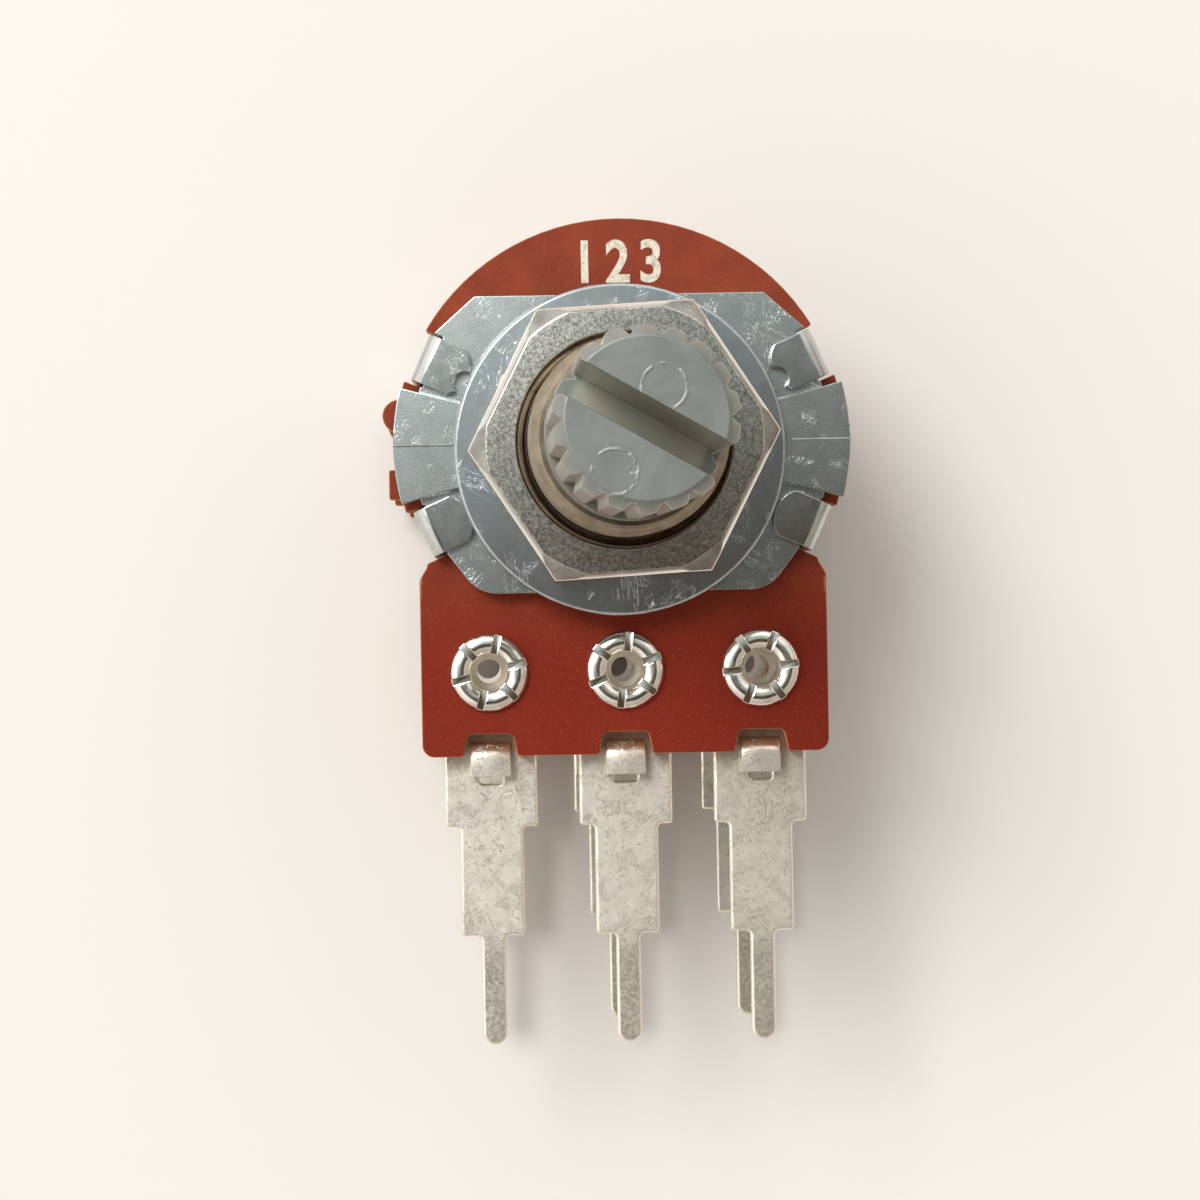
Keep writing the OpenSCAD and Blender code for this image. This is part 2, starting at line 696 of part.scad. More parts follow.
// The rolled collar lies on the board, and channels split it into petals.
module eyelet(i, turn) {
    top = board_z;
    bottom = gang_z - term_t - eyelet_flange_t;
    seat = gang_z - term_t;
    roll_r = collar_roll / 2;
    bore = eyelet_bore / 2;
    hole = eyelet_hole / 2;
    rim = eyelet_flange_d / 2;
    lip = top + roll_r / 4;
    color([0.85, 0.85, 0.82]) translate([terminal_x[i], -eyelet_y, 0]) difference() {
        rotate_extrude($fn = 64) {
            intersection() {
                translate([collar_d / 2 - roll_r, top]) circle(r = roll_r, $fn = 48);
                translate([bore, top]) square([collar_d, collar_roll]);
            }
            polygon([[hole, bottom], [rim - eyelet_edge, bottom], [rim, bottom + eyelet_edge], [rim, seat],
                     [barrel_r, seat], [barrel_r, lip], [bore, lip], [bore, seat + eyelet_flange_t],
                     [hole, seat]]);
        }
        slab(top + roll_r - split_depth, top + collar_roll)
            for (k = [0 : split_count - 1]) rotate(turn + k * 360 / split_count)
                spoke(0, collar_d, split_w);
    }
}

// ---------- rotors and wipers ----------

module front_rotor() {
    face = gang_z - rotor_gap;
    back = face - rotor_t;
    web = mid_z + web_t / 2;
    color([0.86, 0.84, 0.78]) difference() {
        union() {
            slab(back, face) circle(r = rotor_r);
            slab(web + lug_gap, gang_z - overlap) circle(r = hub_r);
            // lug that meets the stop
            slab(web + lug_gap, back + overlap) difference() {
                sector(rotor_r, rest_deg, stop_half);
                circle(r = hub_r - overlap);
            }
            // posts that hold the wiper
            for (a = post_turn) rotate(rest_deg + a)
                translate([post_at, 0, face - overlap])
                    cylinder(r = post_r, h = wiper_t + 3 * overlap, $fn = 32);
        }
        slab(web, gang_z) rotate(travel_deg / 2) key_outline(slip);
    }
}

// A spring finger of the wiper. It leans up towards the board, and its rounded contact
// stands at radius r on the rest angle.
module finger(r, w) {
    rise = rotor_gap - spring_gap;
    t = wiper_t;
    tip_r = t * 0.7;
    back_turn = asin(finger_reach / r);
    rotate(rest_deg - back_turn) translate([r * cos(back_turn) - w / 2, 0, gang_z - rotor_gap])
        rotate([90, 0, 90]) linear_extrude(height = w) {
            polygon([[-finger_root, 0], [0, 0], [finger_reach, rise - tip_r - t / 2],
                     [finger_reach, rise - tip_r + t / 2], [0, t], [-finger_root, t]]);
            translate([finger_reach, rise - tip_r]) circle(r = tip_r, $fn = 24);
        }
}

module front_wiper() {
    base = gang_z - rotor_gap;
    color([0.80, 0.62, 0.36]) difference() {
        union() {
            slab(base, base + wiper_t) difference() {
                circle(r = rotor_r - overlap);
                circle(r = hub_r + slip);
                // window under the fingers
                sector(rotor_r, rest_deg, window_half);
            }
            for (k = finger_places) finger(track_r + track_w * k, track_w * finger_share);
            finger(collector_r + collector_w / 2, collector_w * collector_share);
        }
        for (a = post_turn) rotate(rest_deg + a)
            translate([post_at, 0, base - cut]) cylinder(r = post_r + slip, h = wiper_t + 2 * cut, $fn = 32);
    }
}

// ---------- moulded body ----------

module housing_ring() {
    color([0.15, 0.12, 0.10]) {
        slab(gang_z - body_h, gang_z) difference() {
            body_outline();
            circle(r = cavity_r);
        }
        slab(mid_z - web_t / 2, mid_z + web_t / 2) difference() {
            circle(r = cavity_r + overlap);
            circle(r = hub_r - overlap);
        }
        // a stop on each side of the web
        stop_h = rotor_web_gap - lug_gap;
        slab(mid_z - web_t / 2 - stop_h, mid_z + web_t / 2 + stop_h) difference() {
            sector(cavity_r + overlap, 270, stop_half - stop_play_deg);
            circle(r = hub_r + stop_clear);
        }
    }
}

module body_outline() {
    difference() {
        circle(r = body_r);
        strap_slots();
        translate([-board_r, -flat_y - board_r]) square([2 * board_r, board_r]);
        for (x = terminal_x) translate([x, -eyelet_y]) circle(r = ring_r + flat_gap / 2);
    }
}

// ---------- rear cover with its straps ----------

module cover_outline() {
    intersection() {
        circle(r = strap_r_out - cover_t + slip);
        square([board_d, cover_h], center = true);
    }
}

// A strap's section in a plane through the axis, standing on the cover and folded over the plate.
module strap_section() {
    low = cover_z - cover_t;
    high = rim_z + strap_t;
    bend_in = strap_bend - strap_t;
    // foot, with its bend
    translate([cavity_r, low]) square([strap_r_out - cover_t - cavity_r, cover_t]);
    intersection() {
        translate([strap_r_out - cover_t, cover_z]) circle(r = cover_t, $fn = 48);
        translate([strap_r_out - cover_t - slip, low]) square([cover_t + slip, cover_t]);
    }
    // upright
    translate([strap_r_in, cover_z - slip]) square([strap_t, high - strap_bend - cover_z + slip]);
    // fold over the plate's rim
    translate([strap_r_out - strap_bend, high - strap_bend]) quarter_ring(strap_bend, bend_in);
    translate([strap_tip_r - cut, rim_z])
        square([strap_r_out - strap_bend + slip - strap_tip_r + cut, strap_t]);
}

// The folded tip seen from the front: a round end, with a bite out of it on the upper straps.
module strap_plan() {
    round_r = strap_w * tip_round;
    difference() {
        union() {
            spoke(strap_tip_r + round_r, board_r, strap_w);
            intersection() {
                translate([strap_tip_r + round_r, 0]) circle(r = round_r, $fn = 64);
                spoke(strap_tip_r, strap_tip_r + round_r + overlap, strap_w);
            }
        }
        if ($bitten) translate([strap_tip_r, -strap_w * bite_side]) circle(r = strap_w * bite_size, $fn = 48);
    }
}

module rear_cover() {
    outer = dish_d / 2;
    slope = dish_slope;
    inner = outer - dish_thin;
    back = cover_z - cover_t;
    hole = pivot_r + shaft_fit;
    color([0.78, 0.78, 0.74]) {
        difference() {
            slab(back, cover_z) cover_outline();
            slab(back - cut, cover_z + cut) circle(r = outer);
        }
        rotate_extrude() polygon([[outer + slope, back], [outer, back], [outer - slope, dish_z],
            [hole, dish_z], [hole, dish_z + cover_t], [inner - slope, dish_z + cover_t],
            [inner, cover_z], [outer + slope, cover_z]]);
        each_strap() intersection() {
            rotate([90, 0, 0]) translate([0, 0, -strap_w / 2]) linear_extrude(height = strap_w)
                strap_section();
            union() {
                slab(back - cut, rim_z - fold_low) spoke(cavity_r, board_r, strap_w + cut);
                slab(rim_z - fold_low, cut) strap_plan();
            }
        }
    }
}

// ---------- rear gang ----------

module rear_board() to_rear() front_board();
module rear_track() to_rear() front_track();
module rear_collector() to_rear() front_collector();
module rear_rotor() to_rear() front_rotor();
module rear_wiper() to_rear() front_wiper();

shaft();
bushing();
mounting_plate();
hex_nut();
flat_washer();
retaining_clip();
front_board();
front_track();
front_collector();
front_rotor();
front_wiper();
housing_ring();
rear_board();
rear_track();
rear_collector();
rear_rotor();
rear_wiper();
rear_cover();
terminal(0);  // front_terminal_1
terminal(1);  // front_terminal_2
terminal(2);  // front_terminal_3
to_rear() terminal(0);  // rear_terminal_1
to_rear() terminal(1);  // rear_terminal_2
to_rear() terminal(2);  // rear_terminal_3
eyelet(0, split_turn[0]);  // front_eyelet_1
eyelet(1, split_turn[1]);  // front_eyelet_2
eyelet(2, split_turn[2]);  // front_eyelet_3
to_rear() eyelet(0, split_turn[3]);  // rear_eyelet_1
to_rear() eyelet(1, split_turn[4]);  // rear_eyelet_2
to_rear() eyelet(2, split_turn[5]);  // rear_eyelet_3
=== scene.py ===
"""Finishes, thread, print and studio of a two-gang rotary potentiometer."""
import math

import bpy
from mathutils import Euler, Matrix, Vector


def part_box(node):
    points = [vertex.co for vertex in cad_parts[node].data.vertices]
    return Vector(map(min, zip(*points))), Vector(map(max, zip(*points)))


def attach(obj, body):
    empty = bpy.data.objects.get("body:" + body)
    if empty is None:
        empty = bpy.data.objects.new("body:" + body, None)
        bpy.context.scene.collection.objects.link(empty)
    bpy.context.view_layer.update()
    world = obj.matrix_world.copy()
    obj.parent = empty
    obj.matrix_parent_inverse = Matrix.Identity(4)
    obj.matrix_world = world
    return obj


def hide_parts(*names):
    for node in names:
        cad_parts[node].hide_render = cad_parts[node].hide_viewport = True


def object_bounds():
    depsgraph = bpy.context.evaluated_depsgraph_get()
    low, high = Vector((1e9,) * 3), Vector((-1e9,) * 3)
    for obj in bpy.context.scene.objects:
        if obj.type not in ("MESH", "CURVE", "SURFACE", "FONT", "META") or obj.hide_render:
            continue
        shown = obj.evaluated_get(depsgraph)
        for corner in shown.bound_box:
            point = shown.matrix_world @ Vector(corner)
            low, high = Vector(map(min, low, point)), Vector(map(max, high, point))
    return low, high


bl_info = {
    "name": "Two-gang potentiometer",
    "version": (1, 0, 0),
    "blender": (4, 5, 0),
    "location": "3D View > Sidebar > Potentiometer",
    "description": "Dresses a two-gang rotary potentiometer in its metals, board and print",
    "category": "Add Mesh",
}

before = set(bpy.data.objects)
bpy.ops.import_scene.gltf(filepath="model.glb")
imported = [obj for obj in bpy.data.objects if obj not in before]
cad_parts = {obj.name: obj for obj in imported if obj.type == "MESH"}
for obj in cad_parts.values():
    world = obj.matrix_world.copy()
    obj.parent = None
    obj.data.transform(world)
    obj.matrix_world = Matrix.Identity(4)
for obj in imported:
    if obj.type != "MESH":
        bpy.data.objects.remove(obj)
CAD_BOX = [list(corner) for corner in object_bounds()]
MM = 0.001
HOUSING = "housing"
SPINDLE = "spindle"
GANGS = ("front", "rear")
PLACES = (1, 2, 3)
SPLIT_TURNS = {"front": (75.0, 82.0, 66.0), "rear": (71.0, 60.0, 78.0)}  # degrees, one for each eyelet

WELD = 0.0005 * MM                  # points closer than this are one point
SLIVER = 0.001 * MM                 # edges shorter than this are dissolved
FLAT = math.radians(0.4)            # faces that meet at less than this are one flat face
SMOOTH = math.radians(35.0)         # edges sharper than this stay crisp
SMOOTH_THREAD = math.radians(24.0)  # the same on the bushing

# Heights on the shaft, in millimetres above the mounting face.
TEETH_FOOT = 10.0
SLOT_FLOOR = 12.0
SHAFT_END = 20.0
# Ejector rings on the shaft's end: X, Y and radius, in millimetres.
EJECTOR_RINGS = ((0.56, 0.97, 0.72), (-1.03, -1.65, 0.72), (-0.44, -1.59, 0.14))

# Stains on the tin of the rear cover and in its scratches, and the dark tone used on the terminals.
COVER_STAIN = (0.26, 0.23, 0.18)
COVER_SCRATCH = (0.24, 0.21, 0.17)
TERMINAL_DARK_TONE = (0.30, 0.27, 0.21)


# ---------- settings ----------

def size(name, description, default, top=0.1):
    """A length in metres that the panel shows."""
    return bpy.props.FloatProperty(name=name, description=description, default=default, min=0.0,
                                   max=top, precision=5, unit="LENGTH")


def colour(name, description, default):
    """A linear colour that the panel shows."""
    return bpy.props.FloatVectorProperty(name=name, description=description, default=default,
                                         min=0.0, max=1.0, size=3, subtype="COLOR")


def light(name, description, default):
    """A light's linear colour, which may pass 1."""
    return bpy.props.FloatVectorProperty(name=name, description=description, default=default,
                                         min=0.0, max=5.0, size=3, subtype="COLOR")


class FinishSettings(bpy.types.PropertyGroup):
    """Colours of the finishes."""
    board: colour("Board", "Red-brown face of the phenolic boards", (0.245, 0.044, 0.020))
    board_deep: colour("Board foot", "Deeper red of the boards' foot", (0.205, 0.015, 0.005))
    board_edge: colour("Board edge", "Paler cut edge of the boards", (0.60, 0.26, 0.11))
    print_ink: colour("Print", "Cream ink on the front board", (0.80, 0.73, 0.60))
    plate: colour("Plate", "Zinc plating of the mounting plate", (0.52, 0.555, 0.545))
    washer: colour("Washer", "Zinc plating of the washer", (0.49, 0.52, 0.53))
    nut: colour("Nut", "Plating of the nut", (0.62, 0.59, 0.54))
    bushing: colour("Bushing", "Plating of the threaded bushing", (0.31, 0.255, 0.19))
    shaft: colour("Shaft", "Bare die-cast zinc of the shaft", (0.235, 0.255, 0.24))
    tin: colour("Tin", "Tin plating of the rear cover and its straps", (0.53, 0.55, 0.53))
    terminal: colour("Terminal", "Tin plating of the terminals", (0.77, 0.73, 0.65))
    eyelet: colour("Eyelet", "Tin plating of the eyelets", (0.95, 0.91, 0.83))
    body: colour("Body", "Dark moulding between the boards", (0.035, 0.028, 0.024))


class EdgeSettings(bpy.types.PropertyGroup):
    """How far the edges of the pieces are rounded."""
    sheet: size("Sheet edge", "Rounding of punched sheet edges", 0.05 * MM, 0.2 * MM)
    board: size("Board edge", "Rounding of the boards' edges", 0.08 * MM, 0.2 * MM)
    terminal: size("Terminal edge", "Rounding of the terminals' edges", 0.14 * MM, 0.2 * MM)
    shaft: size("Shaft edge", "Rounding of the shaft's cast edges", 0.05 * MM, 0.2 * MM)
    nut: size("Nut edge", "Rounding of the nut's corners", 0.06 * MM, 0.2 * MM)
    eyelet: size("Eyelet edge", "Rounding of the eyelets' split edges", 0.018 * MM, 0.1 * MM)


class BushingSettings(bpy.types.PropertyGroup):
    """The bushing and its thread."""
    flange: size("Flange", "Diameter of the flange behind the plate", 9.6 * MM)
    flange_thickness: size("Flange thickness", "Thickness of the flange", 0.45 * MM, 2 * MM)
    ear: size("Ear", "Width of the two ears", 2.2 * MM, 5 * MM)
    root: size("Root", "Diameter inside the mounting plate", 7.3 * MM, 10 * MM)
    crest: size("Thread", "Diameter over the thread", 7.0 * MM, 10 * MM)
    bore: size("Bore", "Diameter of the bore", 5.7 * MM, 8 * MM)
    chamfer: size("Chamfer", "Chamfer at the bushing's end", 0.35 * MM, 1 * MM)
    mouth: size("Mouth", "Chamfer at the bore's mouth", 0.15 * MM, 1 * MM)
    pitch: size("Pitch", "Rise of the thread for each turn", 0.75 * MM, 2 * MM)
    depth: size("Depth", "Depth of the thread's groove", 0.3 * MM, 0.4 * MM)
    start: size("Start", "Height at which the thread starts", 0.9 * MM, 6 * MM)


class EyeletSettings(bpy.types.PropertyGroup):
    """The rolled eyelets that rivet the terminals to the boards."""
    collar: size("Collar", "Diameter over the rolled collar", 2.95 * MM, 5 * MM)
    roll: size("Roll", "Thickness of the roll", 0.84 * MM, 2 * MM)
    bore: size("Bore", "Diameter inside the barrel", 1.32 * MM, 3 * MM)
    barrel: size("Barrel", "Diameter of the barrel", 1.7 * MM, 3 * MM)
    hole: size("Hole", "Diameter of the hole in the far flange", 0.9 * MM, 2 * MM)
    flange: size("Far flange", "Diameter of the flange on the terminal", 2.6 * MM, 5 * MM)
    flange_thickness: size("Flange thickness", "Thickness of that flange", 0.25 * MM, 1 * MM)
    split: size("Split", "Width of the channels between the petals", 0.28 * MM, 1 * MM)
    split_depth: size("Split depth", "Depth of the channels", 0.2 * MM, 1 * MM)
    pitch: size("Spacing", "Distance between neighbouring eyelets", 5.0 * MM, 10 * MM)
    drop: size("Drop", "Distance from the shaft's axis to the eyelets", 8.33 * MM, 20 * MM)


class PrintSettings(bpy.types.PropertyGroup):
    """The numerals printed on the front board."""
    height: size("Height", "Height of the numerals", 1.5 * MM, 3 * MM)
    spread: size("Spread", "Distance between the numerals", 1.22 * MM, 3 * MM)
    place: size("Place", "Distance of the numerals from the shaft's axis", 6.62 * MM, 8 * MM)
    thickness: size("Ink", "Thickness of the ink", 0.012 * MM, 0.1 * MM)


class StageSettings(bpy.types.PropertyGroup):
    """Camera, floor and light."""
    lens: bpy.props.FloatProperty(name="Lens", description="Focal length of the camera", default=112.0,
                                  min=20.0, max=300.0, unit="CAMERA")
    eye: bpy.props.FloatVectorProperty(name="Eye", description="Place of the camera", size=3,
                                       default=(-0.005395, -0.005062, 0.136113), subtype="TRANSLATION")
    turn: bpy.props.FloatVectorProperty(name="Turn", description="Rotation of the camera", size=3,
                                        default=(-0.004372, -0.033002, -0.017944), subtype="EULER")
    floor: colour("Floor", "Pale paper-coloured floor", (0.82, 0.79, 0.755))
    key_power: bpy.props.FloatProperty(name="Key", description="Power of the soft key light", default=4.9,
                                       min=0.0, max=20.0, unit="POWER")
    key_place: bpy.props.FloatVectorProperty(name="Key place", description="Place of the key light", size=3,
                                             default=(-0.34, 0.36, 0.80), subtype="TRANSLATION")
    key_size: size("Key size", "Diameter of the key light", 0.40, 2.0)
    key_tone: light("Key tone", "Colour of the key light", (1.0, 0.985, 0.96))
    wall_dim: light("Far wall", "Light from the walls away from the window", (0.50, 0.44, 0.39))
    wall_bright: light("Window side", "Light from the window's side", (1.42, 1.40, 1.36))
    ceiling: light("Ceiling", "Light from above, towards the window", (0.47, 0.54, 0.54))
    ceiling_dim: light("Far ceiling", "Light from above, away from the window", (0.076, 0.046, 0.024))


SETTINGS = {
    "pot_finish": FinishSettings,
    "pot_edge": EdgeSettings,
    "pot_bushing": BushingSettings,
    "pot_eyelet": EyeletSettings,
    "pot_print": PrintSettings,
    "pot_stage": StageSettings,
}


# ---------- shader maths ----------

def forward(operation):
    """An operator method whose own socket comes first."""
    return lambda self, other: self.paint.node("ShaderNodeMath", {"operation": operation}, self, other)


def backward(operation):
    """An operator method whose own socket comes second."""
    return lambda self, other: self.paint.node("ShaderNodeMath", {"operation": operation}, other, self)


class Value:
    """A socket that takes part in Python expressions."""
    __add__, __radd__ = forward("ADD"), backward("ADD")
    __sub__, __rsub__ = forward("SUBTRACT"), backward("SUBTRACT")
    __mul__, __rmul__ = forward("MULTIPLY"), backward("MULTIPLY")
    __pow__ = forward("POWER")
    __or__, __and__ = forward("MAXIMUM"), forward("MINIMUM")

    def __init__(self, paint, socket):
        self.paint = paint
        self.socket = socket

    def __abs__(self):
        """The size of the value without its sign."""
        return self.paint.node("ShaderNodeMath", {"operation": "ABSOLUTE"}, self)

    def root(self):
        """The square root."""
        return self.paint.node("ShaderNodeMath", {"operation": "SQRT"}, self)

    def between(self, low, high):
        """0 below low, 1 above high, and smooth between them."""
        return self.paint.node("ShaderNodeMapRange", {"interpolation_type": "SMOOTHSTEP"},
                               self, low, high, 0.0, 1.0)


class Nodes:
    """A node tree, whose nodes are made through the node method."""

    def __init__(self, tree):
        self.tree = tree
        self.coordinates = None

    def node(self, kind, settings, *values, output=0, numbered=None, **named):
        """A node of that kind with its settings, its inputs in order, by number or by name, and one output."""
        made = self.tree.nodes.new(kind)
        for key, setting in settings.items():
            setattr(made, key, setting)
        inputs = [(made.inputs[i], value) for i, value in enumerate(values)]
        inputs += [(made.inputs[i], value) for i, value in (numbered or {}).items()]
        inputs += [(made.inputs[key.replace("_", " ")], value) for key, value in named.items()]
        for socket, value in inputs:
            if isinstance(value, Value):
                self.tree.links.new(value.socket, socket)
            elif value is not None:
                wide = socket.type == "RGBA" and len(value) == 3
                socket.default_value = (*value, 1.0) if wide else value
        return Value(self, made.outputs[output])

    def axes(self, vector):
        """The X, Y and Z parts of a vector."""
        split = self.node("ShaderNodeSeparateXYZ", {}, vector)
        outputs = split.socket.node.outputs
        return [Value(self, outputs[i]) for i in range(3)]

    def along(self, vector, way):
        """How far a vector reaches in one direction."""
        return self.node("ShaderNodeVectorMath", {"operation": "DOT_PRODUCT"}, vector, way, output="Value")

    def mix(self, factor, first, second):
        """Two colours mixed by a factor."""
        return self.node("ShaderNodeMix", {"data_type": "RGBA", "clamp_factor": True}, output=2,
                         numbered={0: factor, 6: first, 7: second})


class Paint(Nodes):
    """One material on the Principled shader."""

    def __init__(self, name, **uniform):
        self.material = bpy.data.materials.new(name)
        self.material.use_nodes = True
        super().__init__(self.material.node_tree)
        self.shader = self.tree.nodes["Principled BSDF"]
        for socket, value in uniform.items():
            self.shader.inputs[socket.replace("_", " ")].default_value = value

    def place(self):
        """Object coordinates, in millimetres."""
        if self.coordinates is None:
            found = self.node("ShaderNodeTexCoord", {}, output="Object")
            self.coordinates = self.node("ShaderNodeVectorMath", {"operation": "SCALE"}, found,
                                         Scale=1.0 / MM, output="Vector")
        return self.coordinates

    def facing(self):
        """The X, Y and Z parts of the surface's own normal."""
        return self.axes(self.node("ShaderNodeTexCoord", {}, output="Normal"))

    def stretched(self, factors, vector=None):
        """The place in millimetres, multiplied axis by axis."""
        return self.node("ShaderNodeVectorMath", {"operation": "MULTIPLY"}, vector or self.place(), factors)

    def noise(self, scale, detail=4.0, roughness=0.55, vector=None, distortion=0.0):
        """Noise from 0 to 1, with scale bumps for each millimetre."""
        return self.node("ShaderNodeTexNoise", {}, output=0, Vector=vector or self.place(), Scale=scale,
                         Detail=detail, Roughness=roughness, Distortion=distortion)

    def cells(self, scale):
        """Distances from the middles of scattered cells."""
        return self.node("ShaderNodeTexVoronoi", {}, output="Distance", Vector=self.place(), Scale=scale)

    def scratches(self, scale, angle, thin=0.03, stretch=12.0, rare=0.5):
        """Fine straight scratches along one direction, from 0 to 1."""
        turned = self.node("ShaderNodeVectorRotate", {"rotation_type": "Z_AXIS"}, self.place(),
                           Angle=math.radians(angle))
        lines = self.noise(scale, 2.0, 0.5, self.stretched((1.0, stretch, 1.0), turned))
        broken = self.noise(scale * 0.7, 1.0, 0.5)
        return (1.0 - abs(lines - 0.5).between(0.0, thin)) * broken.between(rare, rare + 0.08)

    def domed(self, slope, radius):
        """A normal bent as if the face were crowned, by that slope at that radius in millimetres."""
        x, y, z = self.axes(self.place())
        return self.bump((x * x + y * y) * (-slope / (2.0 * radius)), 1.0)

    def bump(self, height, depth, below=None):
        """A normal bent by a height from 0 to 1 over that depth in millimetres."""
        return self.node("ShaderNodeBump", {}, output="Normal", Strength=1.0, Distance=depth * MM,
                         Height=height, Normal=below)

    def finish(self, **sockets):
        """Links values to the shader and returns the material."""
        for name, value in sockets.items():
            self.tree.links.new(value.socket, self.shader.inputs[name.replace("_", " ")])
        return self.material


def shade(tone, factor):
    """A colour made lighter or darker by a factor."""
    return tuple(min(1.0, part * factor) for part in tone)


# ---------- materials ----------

def phenolic(finish):
    """Red-brown paper laminate with specks, and paler fibrous cut edges."""
    paint = Paint("phenolic_board", Metallic=0.0, Specular_IOR_Level=0.14)
    x, y, z = paint.axes(paint.place())
    up = paint.facing()[2]
    cloud = paint.noise(0.5, 5.0, 0.6)
    grain = paint.noise(14.0, 3.0, 0.7)
    deep = (-1.0 * y).between(2.0, 8.5)
    tone = paint.mix(cloud.between(0.3, 0.7), shade(finish.board, 0.86), shade(finish.board, 1.12))
    tone = paint.mix(deep * 0.85, tone, finish.board_deep)
    dark = paint.cells(7.0).between(0.05, 0.16)
    tone = paint.mix((1.0 - dark) * 0.3, tone, shade(finish.board, 0.45))
    pale = paint.noise(26.0, 1.0, 0.5).between(0.66, 0.74)
    tone = paint.mix(pale * 0.35, tone, (0.46, 0.20, 0.12))
    edge = 1.0 - abs(up).between(0.80, 0.97)
    flank = (abs(x) + paint.noise(1.3, 3.0, 0.6) * 0.5).between(7.66, 7.76) * (-1.0 * y).between(4.0, 4.3)
    chips = flank * (-1.0 * y).between(4.2, 4.6) * (1.0 - (-1.0 * y).between(5.2, 6.6))
    fibre = paint.noise(9.0, 4.0, 0.7, paint.stretched((1.0, 1.0, 6.0)))
    cut = paint.mix(fibre.between(0.3, 0.7), shade(finish.board_edge, 0.55), finish.board_edge)
    tone = paint.mix((edge | (chips * 0.7)), tone, cut)
    rough = 0.62 + 0.16 * grain
    coarse = paint.bump(grain, 0.006)
    return paint.finish(Base_Color=tone, Roughness=rough, Normal=paint.bump(cloud, 0.03, coarse))


def plated(name, tone, cold, blotch=1.1, gloss=0.24, wear=0.5, grain=12.0, slope=0.036):
    """Mottled zinc plating: clouds of grey, pale and dark specks, fine scratches."""
    paint = Paint(name, Metallic=1.0)
    cloud = paint.noise(blotch, 6.0, 0.62)
    speck = paint.noise(grain, 3.0, 0.65)
    lines = (paint.scratches(1.1, 31.0, 0.02, 9.0, 0.58) | paint.scratches(1.4, -52.0, 0.015, 9.0, 0.6)
             | paint.scratches(0.9, 84.0, 0.012, 8.0, 0.6))
    tone_now = paint.mix(cloud.between(0.3, 0.7), shade(tone, 0.86), shade(tone, 1.12))
    tone_now = paint.mix(speck.between(0.48, 0.72) * wear, tone_now, shade(tone, 0.55))
    tone_now = paint.mix((1.0 - speck.between(0.28, 0.42)) * wear * 0.8, tone_now, shade(tone, 1.45))
    tone_now = paint.mix(paint.noise(0.8, 2.0, 0.5).between(0.45, 0.75) * 0.5, tone_now, cold)
    tone_now = paint.mix(lines * 0.25, tone_now, shade(tone, 1.5))
    rough = gloss + 0.12 * speck - 0.06 * cloud
    relief = paint.bump(speck, 0.0025, paint.domed(slope, 6.0))
    return paint.finish(Base_Color=tone_now, Roughness=rough, Normal=paint.bump(lines, -0.003, relief))


def etched(finish):
    """The nut: pitted plating on its crowned top and smoother flanks, with painted shade on the chamfer and a
    painted highlight on the flanks and rounded edges.
    """
    paint = Paint("nut_plating", Metallic=1.0)
    upward = paint.facing()[2]
    up = upward.between(0.93, 0.99)
    pits = paint.noise(9.0, 4.0, 0.7)
    grains = paint.noise(22.0, 2.0, 0.6, paint.stretched((1.0, 1.4, 1.0)))
    mottled = (pits * 0.5 + grains * 0.5).between(0.40, 0.61)
    broad = paint.noise(0.9, 3.0, 0.6)
    top = paint.mix(mottled, shade(finish.nut, 0.42), shade(finish.nut, 1.45))
    top = paint.mix(broad.between(0.35, 0.7) * 0.25, top, shade(finish.nut, 1.0))
    # Painted shade: the chamfer is a darker copy of the plating.
    side = paint.mix(broad.between(0.35, 0.7), shade(finish.nut, 0.4), shade(finish.nut, 0.62))
    # Painted highlight: the flanks and rounded edges, which lean away from the top, are painted brighter.
    side = paint.mix(1.0 - upward.between(0.66, 0.84), side, shade(finish.nut, 1.4))
    lines = paint.scratches(1.0, 17.0, 0.015, 8.0, 0.55) | paint.scratches(1.2, 74.0, 0.012, 8.0, 0.55)
    tone = paint.mix(lines * 0.4, paint.mix(up, side, top), shade(finish.nut, 1.8))
    rough = 0.14 + 0.14 * pits * up
    relief = paint.bump(mottled * up, 0.0012, paint.domed(0.05, 4.5))
    return paint.finish(Base_Color=tone, Roughness=rough, Normal=relief)


